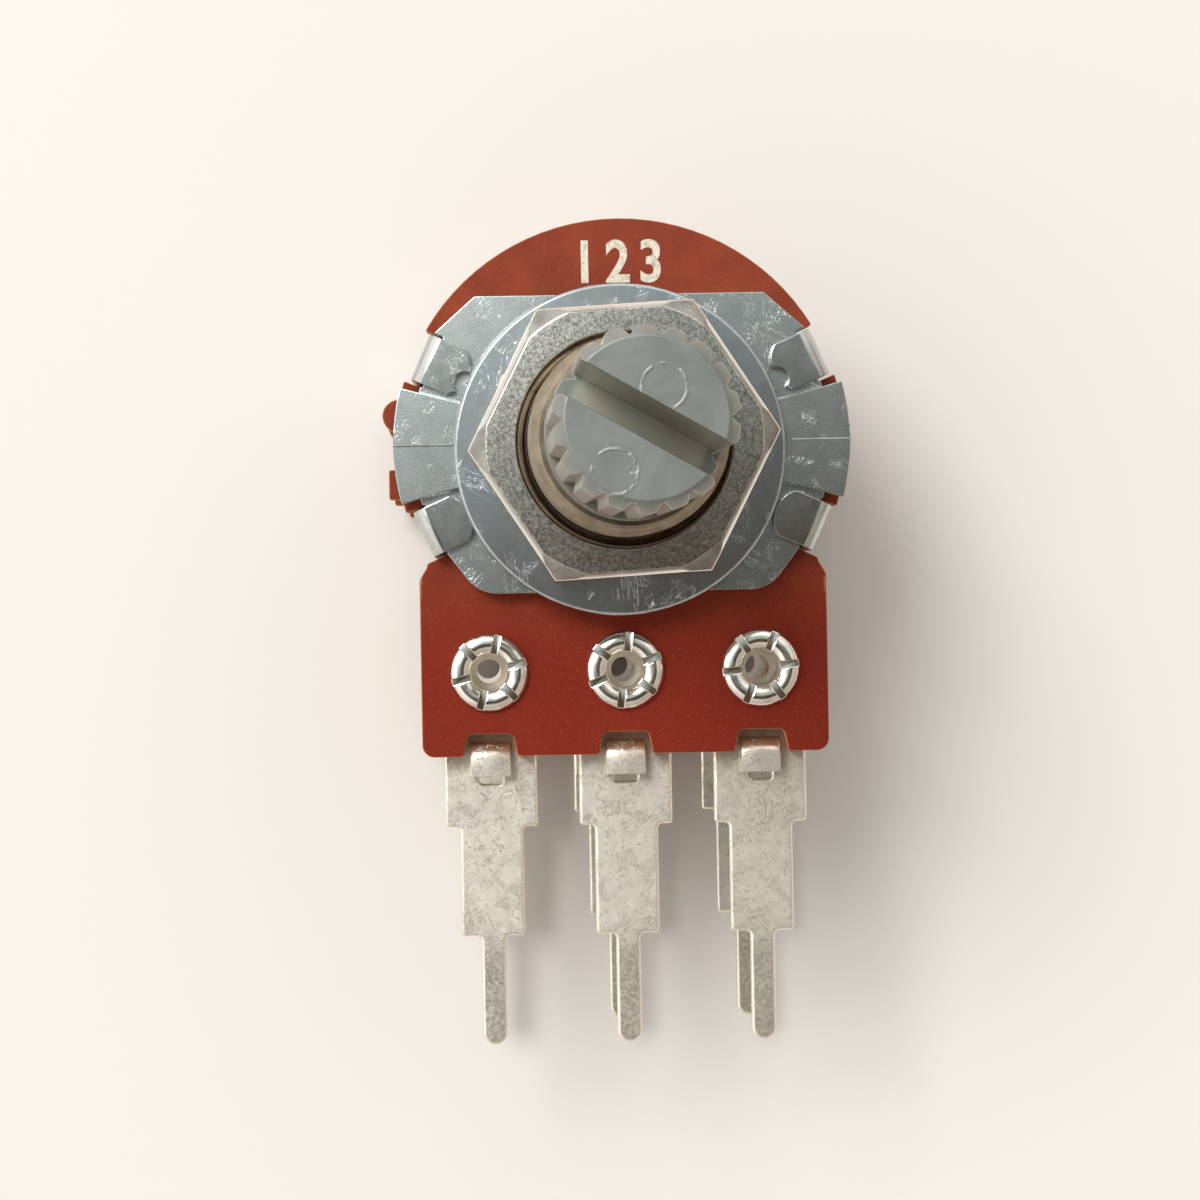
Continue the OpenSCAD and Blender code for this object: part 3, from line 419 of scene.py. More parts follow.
def cast_zinc(finish):
    """The shaft: satin die-cast skin, warmer on its sides and teeth, painted shade at the foot of the grooves
    between the teeth, and faint ejector rings on its end.
    """
    paint = Paint("cast_zinc", Specular_IOR_Level=0.3)
    x, y, z = paint.axes(paint.place())
    up = paint.facing()[2]
    flow = paint.noise(0.9, 5.0, 0.6, distortion=0.6)
    fine = paint.noise(22.0, 3.0, 0.6)
    side = 1.0 - abs(up).between(0.5, 0.85)
    patch = paint.noise(1.6, 3.0, 0.6, paint.stretched((1.0, 1.0, 0.3)))
    tone = paint.mix(flow.between(0.3, 0.7), shade(finish.shaft, 0.92), shade(finish.shaft, 1.1))
    warm = paint.mix(patch.between(0.35, 0.65), (0.40, 0.36, 0.31), (0.50, 0.46, 0.40))
    toothed = z.between(TEETH_FOOT - 0.1, TEETH_FOOT + 0.1) * (x * x + y * y).root().between(2.3, 2.6)
    tone = paint.mix(side * (0.25 + 0.35 * toothed), tone, warm)
    # Painted shade: the foot of each groove between the teeth, and the walls just above it, darkened to brown.
    groove_foot_shade = (1.0 - z.between(TEETH_FOOT, TEETH_FOOT + 1.6)) * z.between(TEETH_FOOT - 0.1, TEETH_FOOT - 0.01)
    tone = paint.mix(groove_foot_shade * 0.6, tone, (0.25, 0.205, 0.155))
    slot = z.between(SLOT_FLOOR - 0.5, SLOT_FLOOR) * (1.0 - z.between(SHAFT_END - 0.7, SHAFT_END - 0.1))
    slot = slot * (1.0 - toothed)
    tone = paint.mix(slot * 0.8, tone, (0.42, 0.41, 0.33))
    rings = None
    for across, along, radius in EJECTOR_RINGS:
        away = ((x - across) ** 2.0 + (y - along) ** 2.0).root()
        ring = 1.0 - abs(away - radius).between(0.02, 0.07)
        rings = ring if rings is None else rings | ring
    rings = rings * z.between(SHAFT_END - 0.2, SHAFT_END - 0.05)
    broken = paint.noise(2.2, 2.0, 0.5).between(0.4, 0.6)
    tone = paint.mix(rings * broken * 0.45, tone, shade(finish.shaft, 1.9))
    rough = 0.42 + 0.12 * flow + 0.06 * fine - 0.1 * side
    relief = paint.bump(fine, 0.004)
    metal = 0.85 - 0.6 * (groove_foot_shade | slot)
    return paint.finish(Base_Color=tone, Roughness=rough, Metallic=metal,
                        Normal=paint.bump(rings * broken, 0.015, relief))


def solder_strip(finish):
    """Dull tin of the terminals: stained patches, curled scratches, darker pins, a painted highlight on the
    rounded edges and a painted red-brown reflection and shade by the board.
    """
    paint = Paint("terminal_tin")
    x, y, z = paint.axes(paint.place())
    low = -1.0 * y
    up = abs(paint.facing()[2])
    cloud = paint.noise(1.6, 6.0, 0.7)
    fine = paint.noise(8.0, 5.0, 0.7)
    curls = 1.0 - abs(paint.noise(1.1, 3.0, 0.6, distortion=1.4) - 0.5).between(0.0, 0.016)
    curls = curls * paint.noise(0.9, 1.0, 0.5).between(0.5, 0.58)
    lines = paint.scratches(2.4, 63.0, 0.02, 7.0) | paint.scratches(2.0, -24.0, 0.02, 10.0)
    tone = paint.mix(cloud.between(0.3, 0.7), shade(finish.terminal, 0.84), shade(finish.terminal, 1.06))
    tone = paint.mix(fine.between(0.5, 0.64) * cloud.between(0.46, 0.6) * 0.7, tone, TERMINAL_DARK_TONE)
    tone = paint.mix((curls | lines) * 0.75, tone, shade(TERMINAL_DARK_TONE, 0.75))
    pins = low.between(17.4, 19.4)
    tone = paint.mix(pins * (0.45 + 0.9 * fine.between(0.35, 0.65)) * 0.7, tone, TERMINAL_DARK_TONE)
    # Darker towards the third terminal, at +X.
    tone = paint.mix(x.between(-6.0, 6.0) * 0.28, tone, TERMINAL_DARK_TONE)
    # Painted reflection and shade: the top of each terminal, by the board, is tinted red-brown as if it
    # mirrored the red board and lay in its shade.
    nose = 1.0 - low.between(11.1, 11.7)
    tone = paint.mix(nose * 0.5, tone, (0.42, 0.22, 0.12))
    # Painted highlight: the rounded edges, which turn away from the flat faces, are painted a bright cream.
    painted_edge_highlight = 1.0 - up.between(0.90, 0.995)
    tone = paint.mix(painted_edge_highlight, tone, (0.90, 0.84, 0.72))
    rough = 0.42 + 0.12 * fine - 0.22 * painted_edge_highlight
    waves = paint.bump(cloud, 0.01)
    return paint.finish(Base_Color=tone, Roughness=rough, Metallic=0.5 + 0.45 * painted_edge_highlight,
                        Normal=paint.bump(curls | lines, -0.006, waves))


def eyelet_tin(finish, make):
    """Bright rolled eyelet: mirror-smooth collar, dull cream barrel inside."""
    paint = Paint("eyelet_tin")
    x, y, z = paint.axes(paint.place())
    near = abs(x) & abs(abs(x) - make.pitch / MM)
    away = (near * near + (y + make.drop / MM) ** 2.0).root()
    inside = 1.0 - away.between(0.60, 0.72)
    cloud = paint.noise(2.2, 5.0, 0.65)
    tone = paint.mix(cloud.between(0.35, 0.65), shade(finish.eyelet, 0.84), finish.eyelet)
    tone = paint.mix(inside, tone, (0.78, 0.72, 0.62))
    lines = paint.scratches(3.0, 20.0, 0.02)
    tone = paint.mix(lines * 0.4, tone, (0.40, 0.36, 0.30))
    rough = 0.13 + 0.08 * cloud + 0.35 * inside
    return paint.finish(Base_Color=tone, Roughness=rough, Metallic=1.0 - 0.75 * inside,
                        Normal=paint.bump(cloud, 0.004))


def tinned(finish):
    """The rear cover: clean, faintly clouded tin plating with a few fine scratches."""
    paint = Paint("tin_plate", Metallic=1.0)
    stains = 0.05
    cloud = paint.noise(1.2, 6.0, 0.68)
    spots = paint.noise(3.12, 4.0, 0.6).between(0.56, 0.68)
    lines = (paint.scratches(2.4, 63.0, 0.025, 9.0) | paint.scratches(2.0, -24.0, 0.02, 14.0)
             | paint.scratches(3.1, 8.0, 0.015, 10.0))
    tone = paint.mix(cloud.between(0.3, 0.7), shade(finish.tin, 0.86), shade(finish.tin, 1.08))
    tone = paint.mix(spots * cloud.between(0.4, 0.6) * stains, tone, COVER_STAIN)
    tone = paint.mix(lines * (0.55 * stains), tone, COVER_SCRATCH)
    rough = 0.17 + 0.0425 * cloud + 0.0125 * spots
    waves = paint.bump(cloud, 0.0006, paint.domed(0.04, 6.0))
    return paint.finish(Base_Color=tone, Roughness=rough, Normal=paint.bump(lines, -0.01 * stains, waves))


def turned(name, tone, gloss=0.3):
    """Metal cut on a lathe: fine rings round the Z axis."""
    paint = Paint(name, Metallic=1.0)
    x, y, z = paint.axes(paint.place())
    radius = (x * x + y * y).root()
    rings = paint.node("ShaderNodeTexNoise", {"noise_dimensions": "1D"}, output=0, W=radius + z * 0.6,
                       Scale=16.0, Detail=2.0)
    cloud = paint.noise(1.4, 4.0, 0.6)
    tone_now = paint.mix(cloud.between(0.3, 0.7), shade(tone, 0.8), shade(tone, 1.15))
    return paint.finish(Base_Color=tone_now, Roughness=gloss + 0.15 * cloud, Normal=paint.bump(rings, 0.006))


def moulded(name, tone, rough=0.5):
    """Moulded plastic with a faint flow pattern."""
    paint = Paint(name, Metallic=0.0)
    flow = paint.noise(0.7, 4.0, 0.6)
    fine = paint.noise(18.0, 3.0, 0.6)
    tone_now = paint.mix(flow.between(0.3, 0.7), shade(tone, 0.85), shade(tone, 1.2))
    return paint.finish(Base_Color=tone_now, Roughness=rough + 0.12 * fine, Normal=paint.bump(fine, 0.006))


def ink(finish):
    """Screen ink with a worn, patchy edge."""
    paint = Paint("print_ink", Metallic=0.0)
    patch = paint.noise(6.0, 4.0, 0.65)
    tone = paint.mix(patch.between(0.3, 0.7), shade(finish.print_ink, 0.8), finish.print_ink)
    thin = 0.70 + 0.30 * patch.between(0.36, 0.5)
    return paint.finish(Base_Color=tone, Roughness=0.6 + 0.2 * patch, Alpha=thin)


# ---------- bench work ----------

def only(piece):
    """Selects one piece and nothing else, in object mode."""
    active = bpy.context.view_layer.objects.active
    if active is not None and active.mode != "OBJECT":
        bpy.ops.object.mode_set(mode="OBJECT")
    bpy.ops.object.select_all(action="DESELECT")
    piece.select_set(True)
    bpy.context.view_layer.objects.active = piece


def blank(node, name):
    """A merged copy of a CAD node, with its flat faces whole, to be worked on."""
    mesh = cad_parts[node].data.copy()
    mesh.name = name
    piece = bpy.data.objects.new(name, mesh)
    bpy.context.scene.collection.objects.link(piece)
    only(piece)
    bpy.ops.mesh.customdata_custom_splitnormals_clear()
    bpy.ops.object.mode_set(mode="EDIT")
    bpy.ops.mesh.select_all(action="SELECT")
    bpy.ops.mesh.remove_doubles(threshold=WELD)
    bpy.ops.mesh.dissolve_degenerate(threshold=SLIVER)
    bpy.ops.mesh.dissolve_limited(angle_limit=FLAT)
    bpy.ops.object.mode_set(mode="OBJECT")
    return piece


def part_across(piece, place):
    """Cuts the faces across at one place on the Y axis, and makes the flat faces below it whole."""
    only(piece)
    bpy.ops.object.mode_set(mode="EDIT")
    bpy.ops.mesh.select_all(action="SELECT")
    bpy.ops.mesh.bisect(plane_co=(0.0, place, 0.0), plane_no=(0.0, 1.0, 0.0))
    bpy.ops.mesh.select_mode(type="FACE")
    bpy.ops.mesh.select_all(action="DESELECT")
    bpy.ops.object.mode_set(mode="OBJECT")
    for face in piece.data.polygons:
        face.select = face.center.y < place
    bpy.ops.object.mode_set(mode="EDIT")
    bpy.ops.mesh.dissolve_limited(angle_limit=FLAT)
    bpy.ops.object.mode_set(mode="OBJECT")


def apply(piece, kind, **settings):
    """Adds a modifier with its settings and applies it."""
    only(piece)
    modifier = piece.modifiers.new(kind.title(), kind)
    for key, value in settings.items():
        setattr(modifier, key, value)
    bpy.ops.object.modifier_apply(modifier=modifier.name)


def round_off(piece, width, segments=2, angle=28.0, where=lambda one, other: True):
    """Rounds the sharp edges whose two ends pass the rule, and leaves the others crisp."""
    only(piece)
    bpy.ops.object.mode_set(mode="EDIT")
    bpy.ops.mesh.select_all(action="DESELECT")
    bpy.ops.mesh.select_mode(type="EDGE")
    bpy.ops.mesh.edges_select_sharp(sharpness=math.radians(angle))
    bpy.ops.object.mode_set(mode="OBJECT")
    points = [vertex.co.copy() for vertex in piece.data.vertices]
    for face in piece.data.polygons:
        face.select = False
    for edge in piece.data.edges:
        edge.select = edge.select and where(*[points[end] for end in edge.vertices])
    bpy.ops.object.mode_set(mode="EDIT")
    bpy.ops.mesh.bevel(offset=width, segments=segments, clamp_overlap=False, miter_outer="ARC")
    bpy.ops.object.mode_set(mode="OBJECT")


def soften(piece, width, segments=2, angle=28.0, where=lambda one, other: True):
    """Rounds those edges and shades the piece."""
    round_off(piece, width, segments, angle, where)
    bpy.ops.object.shade_smooth_by_angle(angle=SMOOTH)
    apply(piece, "WEIGHTED_NORMAL", keep_sharp=True, weight=80)


def deliver(piece, body, material, slot, *nodes):
    """Gives a finished piece its material and its body, and hides the nodes that it stands for; the slot is
    not used.
    """
    piece.data.materials.clear()
    piece.data.materials.append(material)
    if nodes:
        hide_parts(*nodes)
    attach(piece, body)


def dress(node, material):
    """Gives a CAD node that stays a better material."""
    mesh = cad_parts[node].data
    mesh.materials.clear()
    mesh.materials.append(material)


def corners(node):
    """The lowest and highest corner of a CAD node, as vectors."""
    return [Vector(corner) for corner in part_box(node)]


def lathe(name, profile, steps=96):
    """Turns a closed profile of radius and height round the Z axis, ring by ring."""
    radius, height = profile[0]
    bpy.ops.mesh.primitive_circle_add(vertices=steps, radius=radius, location=(0.0, 0.0, height))
    piece = bpy.context.object
    piece.name = name
    only(piece)
    bpy.ops.object.transform_apply(location=True, rotation=True, scale=True)
    bpy.ops.object.mode_set(mode="EDIT")
    bpy.ops.mesh.select_all(action="SELECT")
    for wide, high in profile[1:] + profile[:1]:
        bpy.ops.mesh.extrude_region_move(TRANSFORM_OT_translate={"value": (0.0, 0.0, high - height)})
        bpy.ops.transform.resize(value=(wide / radius, wide / radius, 1.0), center_override=(0.0, 0.0, 0.0))
        radius, height = wide, high
    bpy.ops.mesh.select_all(action="SELECT")
    bpy.ops.mesh.remove_doubles(threshold=WELD)
    bpy.ops.mesh.normals_make_consistent(inside=False)
    bpy.ops.object.mode_set(mode="OBJECT")
    return piece


def block(low, high, turn=0.0):
    """A box between two corners, turned about the Z axis."""
    centre, wide = (Vector(low) + Vector(high)) / 2, Vector(high) - Vector(low)
    bpy.ops.mesh.primitive_cube_add(size=1.0, location=centre, scale=wide)
    tool = bpy.context.object
    only(tool)
    bpy.ops.object.transform_apply(location=True, rotation=True, scale=True)
    tool.rotation_euler.z = turn
    bpy.ops.object.transform_apply(location=False, rotation=True, scale=False)
    return tool


def carve(piece, tool, operation="DIFFERENCE"):
    """Cuts the tool out of the piece, or joins it on, and clears the tool away."""
    apply(piece, "BOOLEAN", operation=operation, object=tool, solver="EXACT")
    bpy.data.objects.remove(tool)


def shift(piece, way):
    """Moves a piece, with its place kept in its mesh."""
    only(piece)
    piece.location = way
    bpy.ops.object.transform_apply(location=True, rotation=False, scale=False)


def twin(piece, name):
    """A copy of a piece with its own mesh."""
    copy = piece.copy()
    copy.data = piece.data.copy()
    copy.name = name
    bpy.context.scene.collection.objects.link(copy)
    return copy


# ---------- operators ----------

class PieceOperator(bpy.types.Operator):
    """Base of the operators that make pieces."""
    bl_options = {"REGISTER", "UNDO"}

    def execute(self, context):
        """Makes the pieces, and raises an error where one can't be made."""
        self.make(context.scene)
        return {"FINISHED"}


class POT_OT_stage(PieceOperator):
    """Adds the camera, the pale floor and the soft light"""
    bl_idname = "pot.stage"
    bl_label = "Studio"
    FLOOR_RADIUS = 1.2                   # metres
    TO_WINDOW = (-0.60, 0.64, 0.48)      # the way to the window
    ACROSS_CEILING = (-0.38, 0.92, 0.0)  # the way in which the ceiling brightens

    def make(self, scene):
        stage = scene.pot_stage
        self.camera(scene, stage)
        self.floor(stage)
        self.lights(scene, stage)
        scene.view_settings.view_transform = "Standard"

    def camera(self, scene, stage):
        """The camera, above the shaft's end and a little to its left."""
        lens = bpy.data.cameras.new("camera")
        lens.lens = stage.lens
        lens.sensor_width = 36.0
        lens.clip_start = 0.005
        camera = bpy.data.objects.new("camera", lens)
        camera.location = stage.eye
        camera.rotation_euler = Euler(stage.turn)
        scene.collection.objects.link(camera)
        scene.camera = camera

    def floor(self, stage):
        """A round floor under the part."""
        bpy.ops.mesh.primitive_circle_add(vertices=96, radius=self.FLOOR_RADIUS, fill_type="NGON",
                                          location=(0.0, 0.0, CAD_BOX[0][2]))
        floor = bpy.context.object
        floor.name = "floor"
        paint = Paint("floor_paper", Metallic=0.0, Roughness=0.9, Specular_IOR_Level=0.1)
        cloud = paint.noise(0.02, 3.0, 0.5)
        tone = paint.mix(cloud, shade(stage.floor, 0.985), stage.floor)
        floor.data.materials.append(paint.finish(Base_Color=tone))

    def lights(self, scene, stage):
        """One soft lamp that looks at the part, and the room's own light."""
        lamp = bpy.data.lights.new("key", "AREA")
        lamp.shape = "DISK"
        lamp.size = stage.key_size
        lamp.energy = stage.key_power
        lamp.color = stage.key_tone
        key = bpy.data.objects.new("key", lamp)
        key.location = stage.key_place
        key.rotation_euler = (-key.location).to_track_quat("-Z", "Y").to_euler()
        scene.collection.objects.link(key)
        world = scene.world or bpy.data.worlds.new("studio")
        scene.world = world
        world.use_nodes = True
        self.sky(world.node_tree, stage)

    def sky(self, tree, stage):
        """Bright walls, brighter towards the window, under a ceiling that falls off away from it."""
        room = Nodes(tree)
        way = room.node("ShaderNodeTexCoord", {}, output="Generated")
        height = room.axes(way)[2]
        window = room.along(way, self.TO_WINDOW)
        across = room.along(way, self.ACROSS_CEILING)
        wall = room.mix(window.between(-0.5, 0.9), stage.wall_dim, stage.wall_bright)
        ceiling = room.mix(across.between(-0.17, 0.22), stage.ceiling_dim, stage.ceiling)
        tone = room.mix(height.between(0.74, 0.90), wall, ceiling)
        tree.links.new(tone.socket, tree.nodes["Background"].inputs["Color"])


class POT_OT_boards(PieceOperator):
    """Dresses the two phenolic boards"""
    bl_idname = "pot.boards"
    bl_label = "Boards"

    def make(self, scene):
        material = phenolic(scene.pot_finish)
        for gang in GANGS:
            board = blank(f"{gang}_board", f"{gang}_board_laminate")
            soften(board, scene.pot_edge.board)
            deliver(board, HOUSING, material, "phenolic_board", f"{gang}_board")


class POT_OT_print(PieceOperator):
    """Prints plain numerals on the front board, above the mounting plate"""
    bl_idname = "pot.numerals"
    bl_label = "Printed numerals"
    NUMERAL_HEIGHT = 0.70  # height of a numeral in a font of size 1
    STROKE_GAIN = 0.034    # how much the ink spreads, of that height
    NARROWING = 0.86       # width against the plain font's

    def make(self, scene):
        marks = scene.pot_print
        top = corners("front_board")[1].z
        made = []
        for place in PLACES:
            bpy.ops.object.text_add()
            text = bpy.context.object
            text.data.body = str(place)
            text.data.align_x = "CENTER"
            text.data.align_y = "CENTER"
            text.data.size = marks.height / self.NUMERAL_HEIGHT
            text.data.offset = marks.height * self.STROKE_GAIN
            text.data.extrude = marks.thickness / 2
            bpy.ops.object.convert(target="MESH")
            text.location = ((place - 2) * marks.spread, marks.place, top + marks.thickness / 2)
            text.scale.x = self.NARROWING
            only(text)
            bpy.ops.object.transform_apply(location=True, rotation=True, scale=True)
            made.append(text)
        only(made[0])
        for text in made[1:]:
            text.select_set(True)
        bpy.ops.object.join()
        numerals = bpy.context.object
        numerals.name = "printed_numerals"
        deliver(numerals, HOUSING, ink(scene.pot_finish), "phenolic_board")


class POT_OT_plate(PieceOperator):
    """Dresses the mounting plate"""
    bl_idname = "pot.plate"
    bl_label = "Mounting plate"
    RIDGE_HALF = 0.5 * MM  # the fine ridges lie within this of the X axis
    RIDGE_END = 7.5 * MM   # and their outer ends lie past this along it

    def make(self, scene):
        finish = scene.pot_finish
        plate = blank("mounting_plate", "plate_sheet")
        soften(plate, scene.pot_edge.sheet, where=self.off_ridge)
        material = plated("zinc_plate", finish.plate, shade(finish.plate, 0.85))
        deliver(plate, HOUSING, material, "zinc_plate", "mounting_plate")

    def off_ridge(self, one, other):
        """Leaves the ends of the fine ridges along the wings crisp."""
        return (min(abs(one.y), abs(other.y)) > self.RIDGE_HALF
                or max(abs(one.x), abs(other.x)) < self.RIDGE_END)


class POT_OT_fasteners(PieceOperator):
    """Dresses the nut and the washer"""
    bl_idname = "pot.fasteners"
    bl_label = "Nut and washer"

    def make(self, scene):
        finish = scene.pot_finish
        washer = blank("flat_washer", "washer_disc")
        soften(washer, scene.pot_edge.sheet)
        material = plated("washer_plate", finish.washer, (0.43, 0.49, 0.56), blotch=0.8, gloss=0.20, wear=0.45,
                          grain=18.0, slope=0.05)
        deliver(washer, HOUSING, material, "washer_metal", "flat_washer")
        nut = blank("hex_nut", "nut_body")
        soften(nut, scene.pot_edge.nut, segments=3, angle=20.0)
        deliver(nut, HOUSING, etched(finish), "nut_metal", "hex_nut")


class POT_OT_bushing(PieceOperator):
    """Turns the bushing and winds its thread"""
    bl_idname = "pot.bushing"
    bl_label = "Threaded bushing"
    GROOVE_SHARE = 0.44     # half of the groove's mouth, of the pitch
    PAST_CREST = 0.08 * MM  # how far the cutter reaches outside the thread

    def make(self, scene):
        make = scene.pot_bushing
        low, high = corners("bushing")
        flange, root, crest, bore = make.flange / 2, make.root / 2, make.crest / 2, make.bore / 2
        flange_top = low.z + make.flange_thickness
        edge = make.chamfer
        bushing = lathe("bushing_threaded", [
            (bore, low.z), (flange, low.z), (flange, flange_top), (root, flange_top), (root, 0.0),
            (crest, 0.0), (crest, high.z - edge), (crest - edge * 0.8, high.z - edge * 0.12),
            (crest - edge, high.z), (bore + make.mouth, high.z), (bore, high.z - make.mouth)], steps=120)
        ears = block((low.x, -make.ear / 2, low.z), (high.x, make.ear / 2, flange_top))
        carve(ears, lathe("ear_bore", [(bore * 0.2, low.z - MM), (root, low.z - MM), (root, high.z),
                                       (bore * 0.2, high.z)]))
        carve(bushing, ears, "UNION")
        carve(bushing, self.groove(make, crest, high.z))
        only(bushing)
        bpy.ops.object.shade_smooth_by_angle(angle=SMOOTH_THREAD)
        deliver(bushing, HOUSING, turned("bushing_plating", scene.pot_finish.bushing, gloss=0.22),
                "bushing_metal", "bushing")

    def groove(self, make, crest, top):
        """The V-shaped groove of the thread, as one closed coil."""
        bpy.ops.mesh.primitive_circle_add(vertices=3, radius=crest)
        coil = bpy.context.object
        half = make.pitch * self.GROOVE_SHARE
        over = self.PAST_CREST
        deep = crest - make.depth
        for vertex, (across, up) in zip(coil.data.vertices, ((deep, 0.0), (crest + over, half),
                                                             (crest + over, -half))):
            vertex.co = (across, 0.0, make.start + up)
        turns = math.ceil((top - make.start) / make.pitch)
        apply(coil, "SCREW", axis="Z", angle=math.tau, screw_offset=make.pitch, iterations=turns,
              steps=96, render_steps=96, use_merge_vertices=False, use_normal_calculate=True)
        bpy.ops.object.mode_set(mode="EDIT")
        bpy.ops.mesh.select_all(action="DESELECT")
        bpy.ops.mesh.select_non_manifold()
        bpy.ops.mesh.edge_face_add()
        bpy.ops.mesh.select_all(action="SELECT")
        bpy.ops.mesh.normals_make_consistent(inside=False)
        bpy.ops.object.mode_set(mode="OBJECT")
        return coil


class POT_OT_shaft(PieceOperator):
    """Dresses the toothed shaft"""
    bl_idname = "pot.shaft"
    bl_label = "Shaft"

    def make(self, scene):
        shaft = blank("shaft", "shaft_casting")
        soften(shaft, scene.pot_edge.shaft, where=self.toothed)
        deliver(shaft, SPINDLE, cast_zinc(scene.pot_finish), "zinc_casting", "shaft")

    def toothed(self, one, other):
        """Leaves all below the teeth as it was cast."""
        return max(one.z, other.z) > (TEETH_FOOT + 0.01) * MM


class POT_OT_cover(PieceOperator):
    """Dresses the rear cover with its folded straps"""
    bl_idname = "pot.cover"
    bl_label = "Rear cover and straps"

    def make(self, scene):
        cover = blank("rear_cover", "cover_pressing")
        soften(cover, scene.pot_edge.sheet)
        deliver(cover, HOUSING, tinned(scene.pot_finish), "tin_plate", "rear_cover")


class POT_OT_terminals(PieceOperator):
    """Dresses the six terminals"""
    bl_idname = "pot.terminals"
    bl_label = "Terminals"
    STRIP_TOP = -12.6 * MM      # on the Y axis: the flat strip lies below this
    STRIP_ROUNDED = -12.4 * MM  # edges that reach below this are well rounded
    NOSE_CRISP = -12.3 * MM     # edges that reach above this are sheet edges

    def make(self, scene):
        strip = solder_strip(scene.pot_finish)
        edge = scene.pot_edge
        for gang in GANGS:
            for place in PLACES:
                terminal = blank(f"{gang}_terminal_{place}", f"{gang}_terminal_strip_{place}")
                part_across(terminal, self.STRIP_TOP)
                round_off(terminal, edge.terminal, segments=4, where=self.on_strip)
                soften(terminal, edge.sheet, where=self.on_nose)
                deliver(terminal, HOUSING, strip, "terminal_tin", f"{gang}_terminal_{place}")

    def on_strip(self, one, other):
        """The edges of the strip and its pin."""
        return min(one.y, other.y) < self.STRIP_ROUNDED

    def on_nose(self, one, other):
        """The edges of the nose and of what lies on the board."""
        return max(one.y, other.y) > self.NOSE_CRISP


class POT_OT_eyelets(PieceOperator):
    """Rolls the eyelets, one for each terminal"""
    bl_idname = "pot.eyelets"
    bl_label = "Eyelets"
    ARC_STEPS = 14            # straight stretches round the rolled collar
    FLANGE_ROUND = 0.08 * MM  # rounding of the far flange's rim

    def make(self, scene):
        bright = eyelet_tin(scene.pot_finish, scene.pot_eyelet)
        first = self.rolled(scene.pot_eyelet, scene.pot_edge.eyelet)
        for gang in GANGS:
            for place in PLACES:
                eyelet = twin(first, f"{gang}_eyelet_rolled_{place}")
                self.seat(eyelet, scene.pot_eyelet, gang, place)
                deliver(eyelet, HOUSING, bright, "eyelet_metal", f"{gang}_eyelet_{place}")
        bpy.data.objects.remove(first)

    def seat(self, eyelet, make, gang, place):
        """Turns an eyelet to its own splits and sets it in its board."""
        only(eyelet)
        eyelet.rotation_euler.z = math.radians(SPLIT_TURNS[gang][place - 1])
        bpy.ops.object.transform_apply(location=False, rotation=True, scale=False)
        face = corners("front_board")[1].z
        if gang == "rear":
            eyelet.scale.z = -1.0
            bpy.ops.object.transform_apply(location=False, rotation=False, scale=True)
            bpy.ops.object.mode_set(mode="EDIT")
            bpy.ops.mesh.select_all(action="SELECT")
            bpy.ops.mesh.normals_make_consistent(inside=False)
            bpy.ops.object.mode_set(mode="OBJECT")
            face = corners("rear_board")[0].z
        shift(eyelet, ((place - 2) * make.pitch, -make.drop, face))

    def rolled(self, make, edge):
        """One eyelet with its board's face at height 0, and its collar above that."""
        low, high = corners("front_eyelet_1")
        depth = low.z - corners("front_board")[1].z
        roll, middle = make.roll / 2, make.collar / 2 - make.roll / 2
        bore, barrel, flange = make.bore / 2, make.barrel / 2, make.flange / 2
        seat = depth + make.flange_thickness
        start = math.acos((bore - middle) / roll)
        angles = [start * step / self.ARC_STEPS for step in range(self.ARC_STEPS + 1)]
        arc = [(middle + roll * math.cos(angle), roll * math.sin(angle)) for angle in angles]
        eyelet = lathe("eyelet_rolled", [
            *arc, (bore, seat + make.flange_thickness), (make.hole / 2, seat), (make.hole / 2, depth),
            (flange - self.FLANGE_ROUND, depth), (flange, depth + self.FLANGE_ROUND), (flange, seat),
            (barrel, seat), (barrel, 0.0)])
        half = make.split / 2
        for turn in range(3):
            cutter = block((-make.collar, -half, roll - make.split_depth), (make.collar, half, make.roll),
                           turn * math.pi / 3)
            carve(eyelet, cutter)
        soften(eyelet, edge, angle=24.0)
        return eyelet


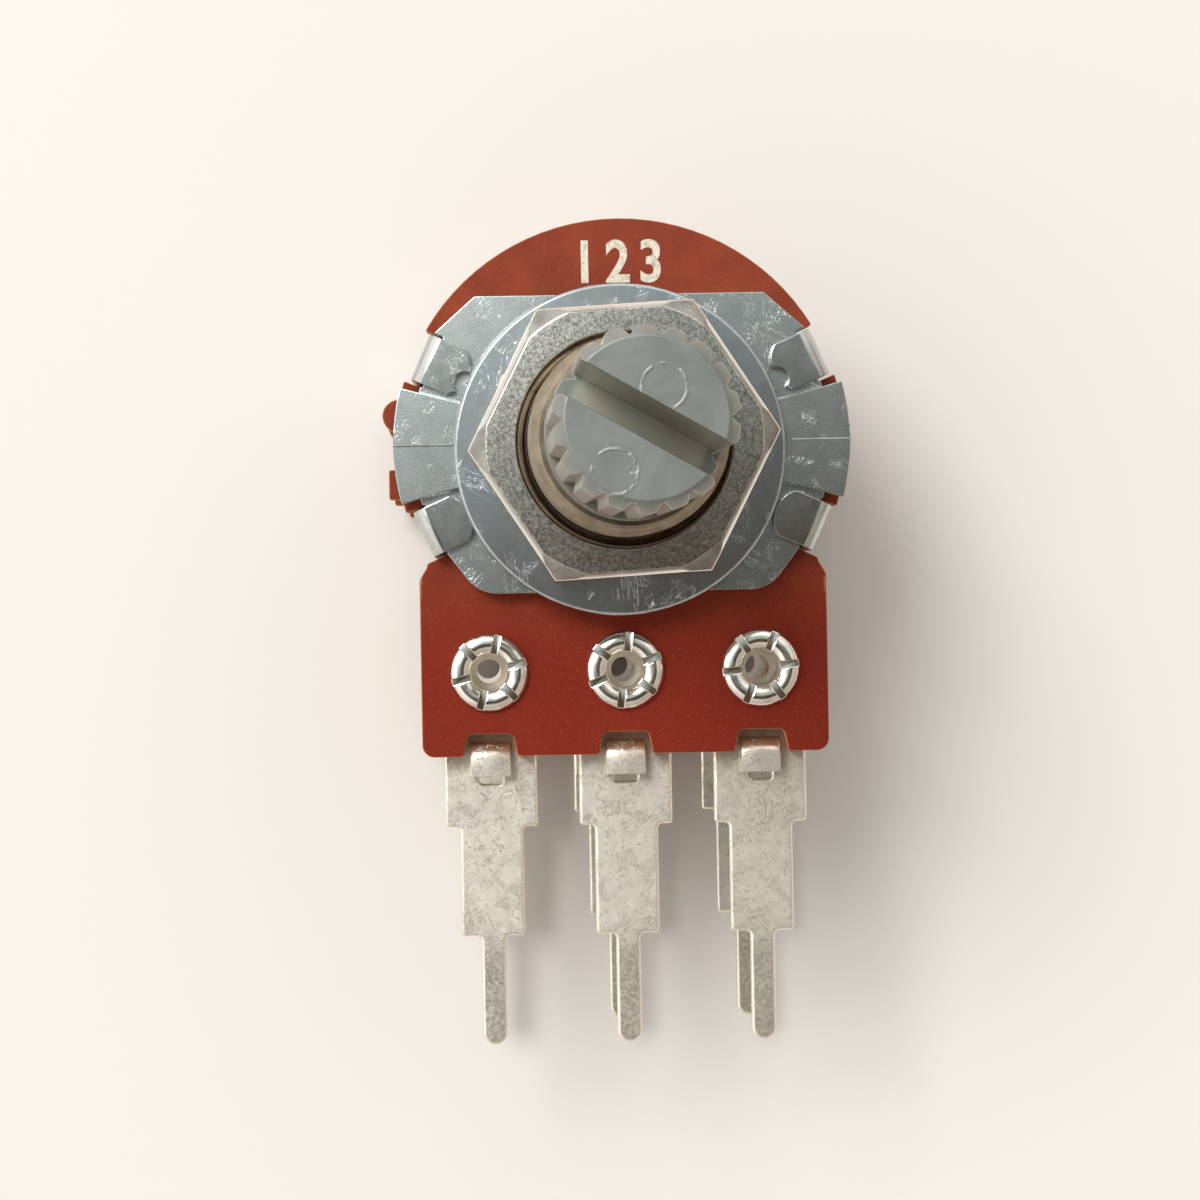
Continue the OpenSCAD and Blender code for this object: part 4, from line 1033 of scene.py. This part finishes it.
class POT_OT_inside(PieceOperator):
    """Dresses the moulded body and the pieces sealed in it"""
    bl_idname = "pot.inside"
    bl_label = "Body and mechanism"

    def make(self, scene):
        body = blank("housing_ring", "body_moulding")
        soften(body, scene.pot_edge.board)
        deliver(body, HOUSING, moulded("moulded_body", scene.pot_finish.body), "moulded_body", "housing_ring")
        track = moulded("carbon_track", (0.02, 0.02, 0.022), rough=0.7)
        silver = turned("silver_print", (0.5, 0.5, 0.48), gloss=0.5)
        acetal = moulded("rotor_plastic", (0.72, 0.68, 0.58), rough=0.4)
        bronze = turned("wiper_bronze", (0.60, 0.38, 0.16), gloss=0.3)
        dress("retaining_clip", turned("spring_steel", (0.20, 0.20, 0.21), gloss=0.4))
        for gang in GANGS:
            dress(f"{gang}_track", track)
            dress(f"{gang}_collector", silver)
            dress(f"{gang}_rotor", acetal)
            dress(f"{gang}_wiper", bronze)


PIECE_OPERATORS = (POT_OT_stage, POT_OT_boards, POT_OT_print, POT_OT_plate, POT_OT_fasteners,
                   POT_OT_bushing, POT_OT_shaft, POT_OT_cover, POT_OT_terminals, POT_OT_eyelets, POT_OT_inside)


class POT_PT_panel(bpy.types.Panel):
    """Lists the pieces and their settings"""
    bl_label = "Potentiometer"
    bl_idname = "POT_PT_panel"
    bl_space_type = "VIEW_3D"
    bl_region_type = "UI"
    bl_category = "Potentiometer"

    def draw(self, context):
        for operator in PIECE_OPERATORS:
            self.layout.operator(operator.bl_idname)
        for name, group in SETTINGS.items():
            box = self.layout.box()
            for key in group.__annotations__:
                box.prop(getattr(context.scene, name), key)


def register():
    """Adds the settings, the operators and the panel to Blender."""
    for group in SETTINGS.values():
        bpy.utils.register_class(group)
    for name, group in SETTINGS.items():
        setattr(bpy.types.Scene, name, bpy.props.PointerProperty(type=group))
    for operator in PIECE_OPERATORS:
        bpy.utils.register_class(operator)
    bpy.utils.register_class(POT_PT_panel)


def unregister():
    """Takes them away again, in the opposite order."""
    bpy.utils.unregister_class(POT_PT_panel)
    for operator in reversed(PIECE_OPERATORS):
        bpy.utils.unregister_class(operator)
    for name in SETTINGS:
        delattr(bpy.types.Scene, name)
    for group in reversed(SETTINGS.values()):
        bpy.utils.unregister_class(group)


def main():
    """Makes every piece through its operator."""
    register()
    for operator in PIECE_OPERATORS:
        group, name = operator.bl_idname.split(".")
        getattr(getattr(bpy.ops, group), name)()


if __name__ == "__main__":
    main()
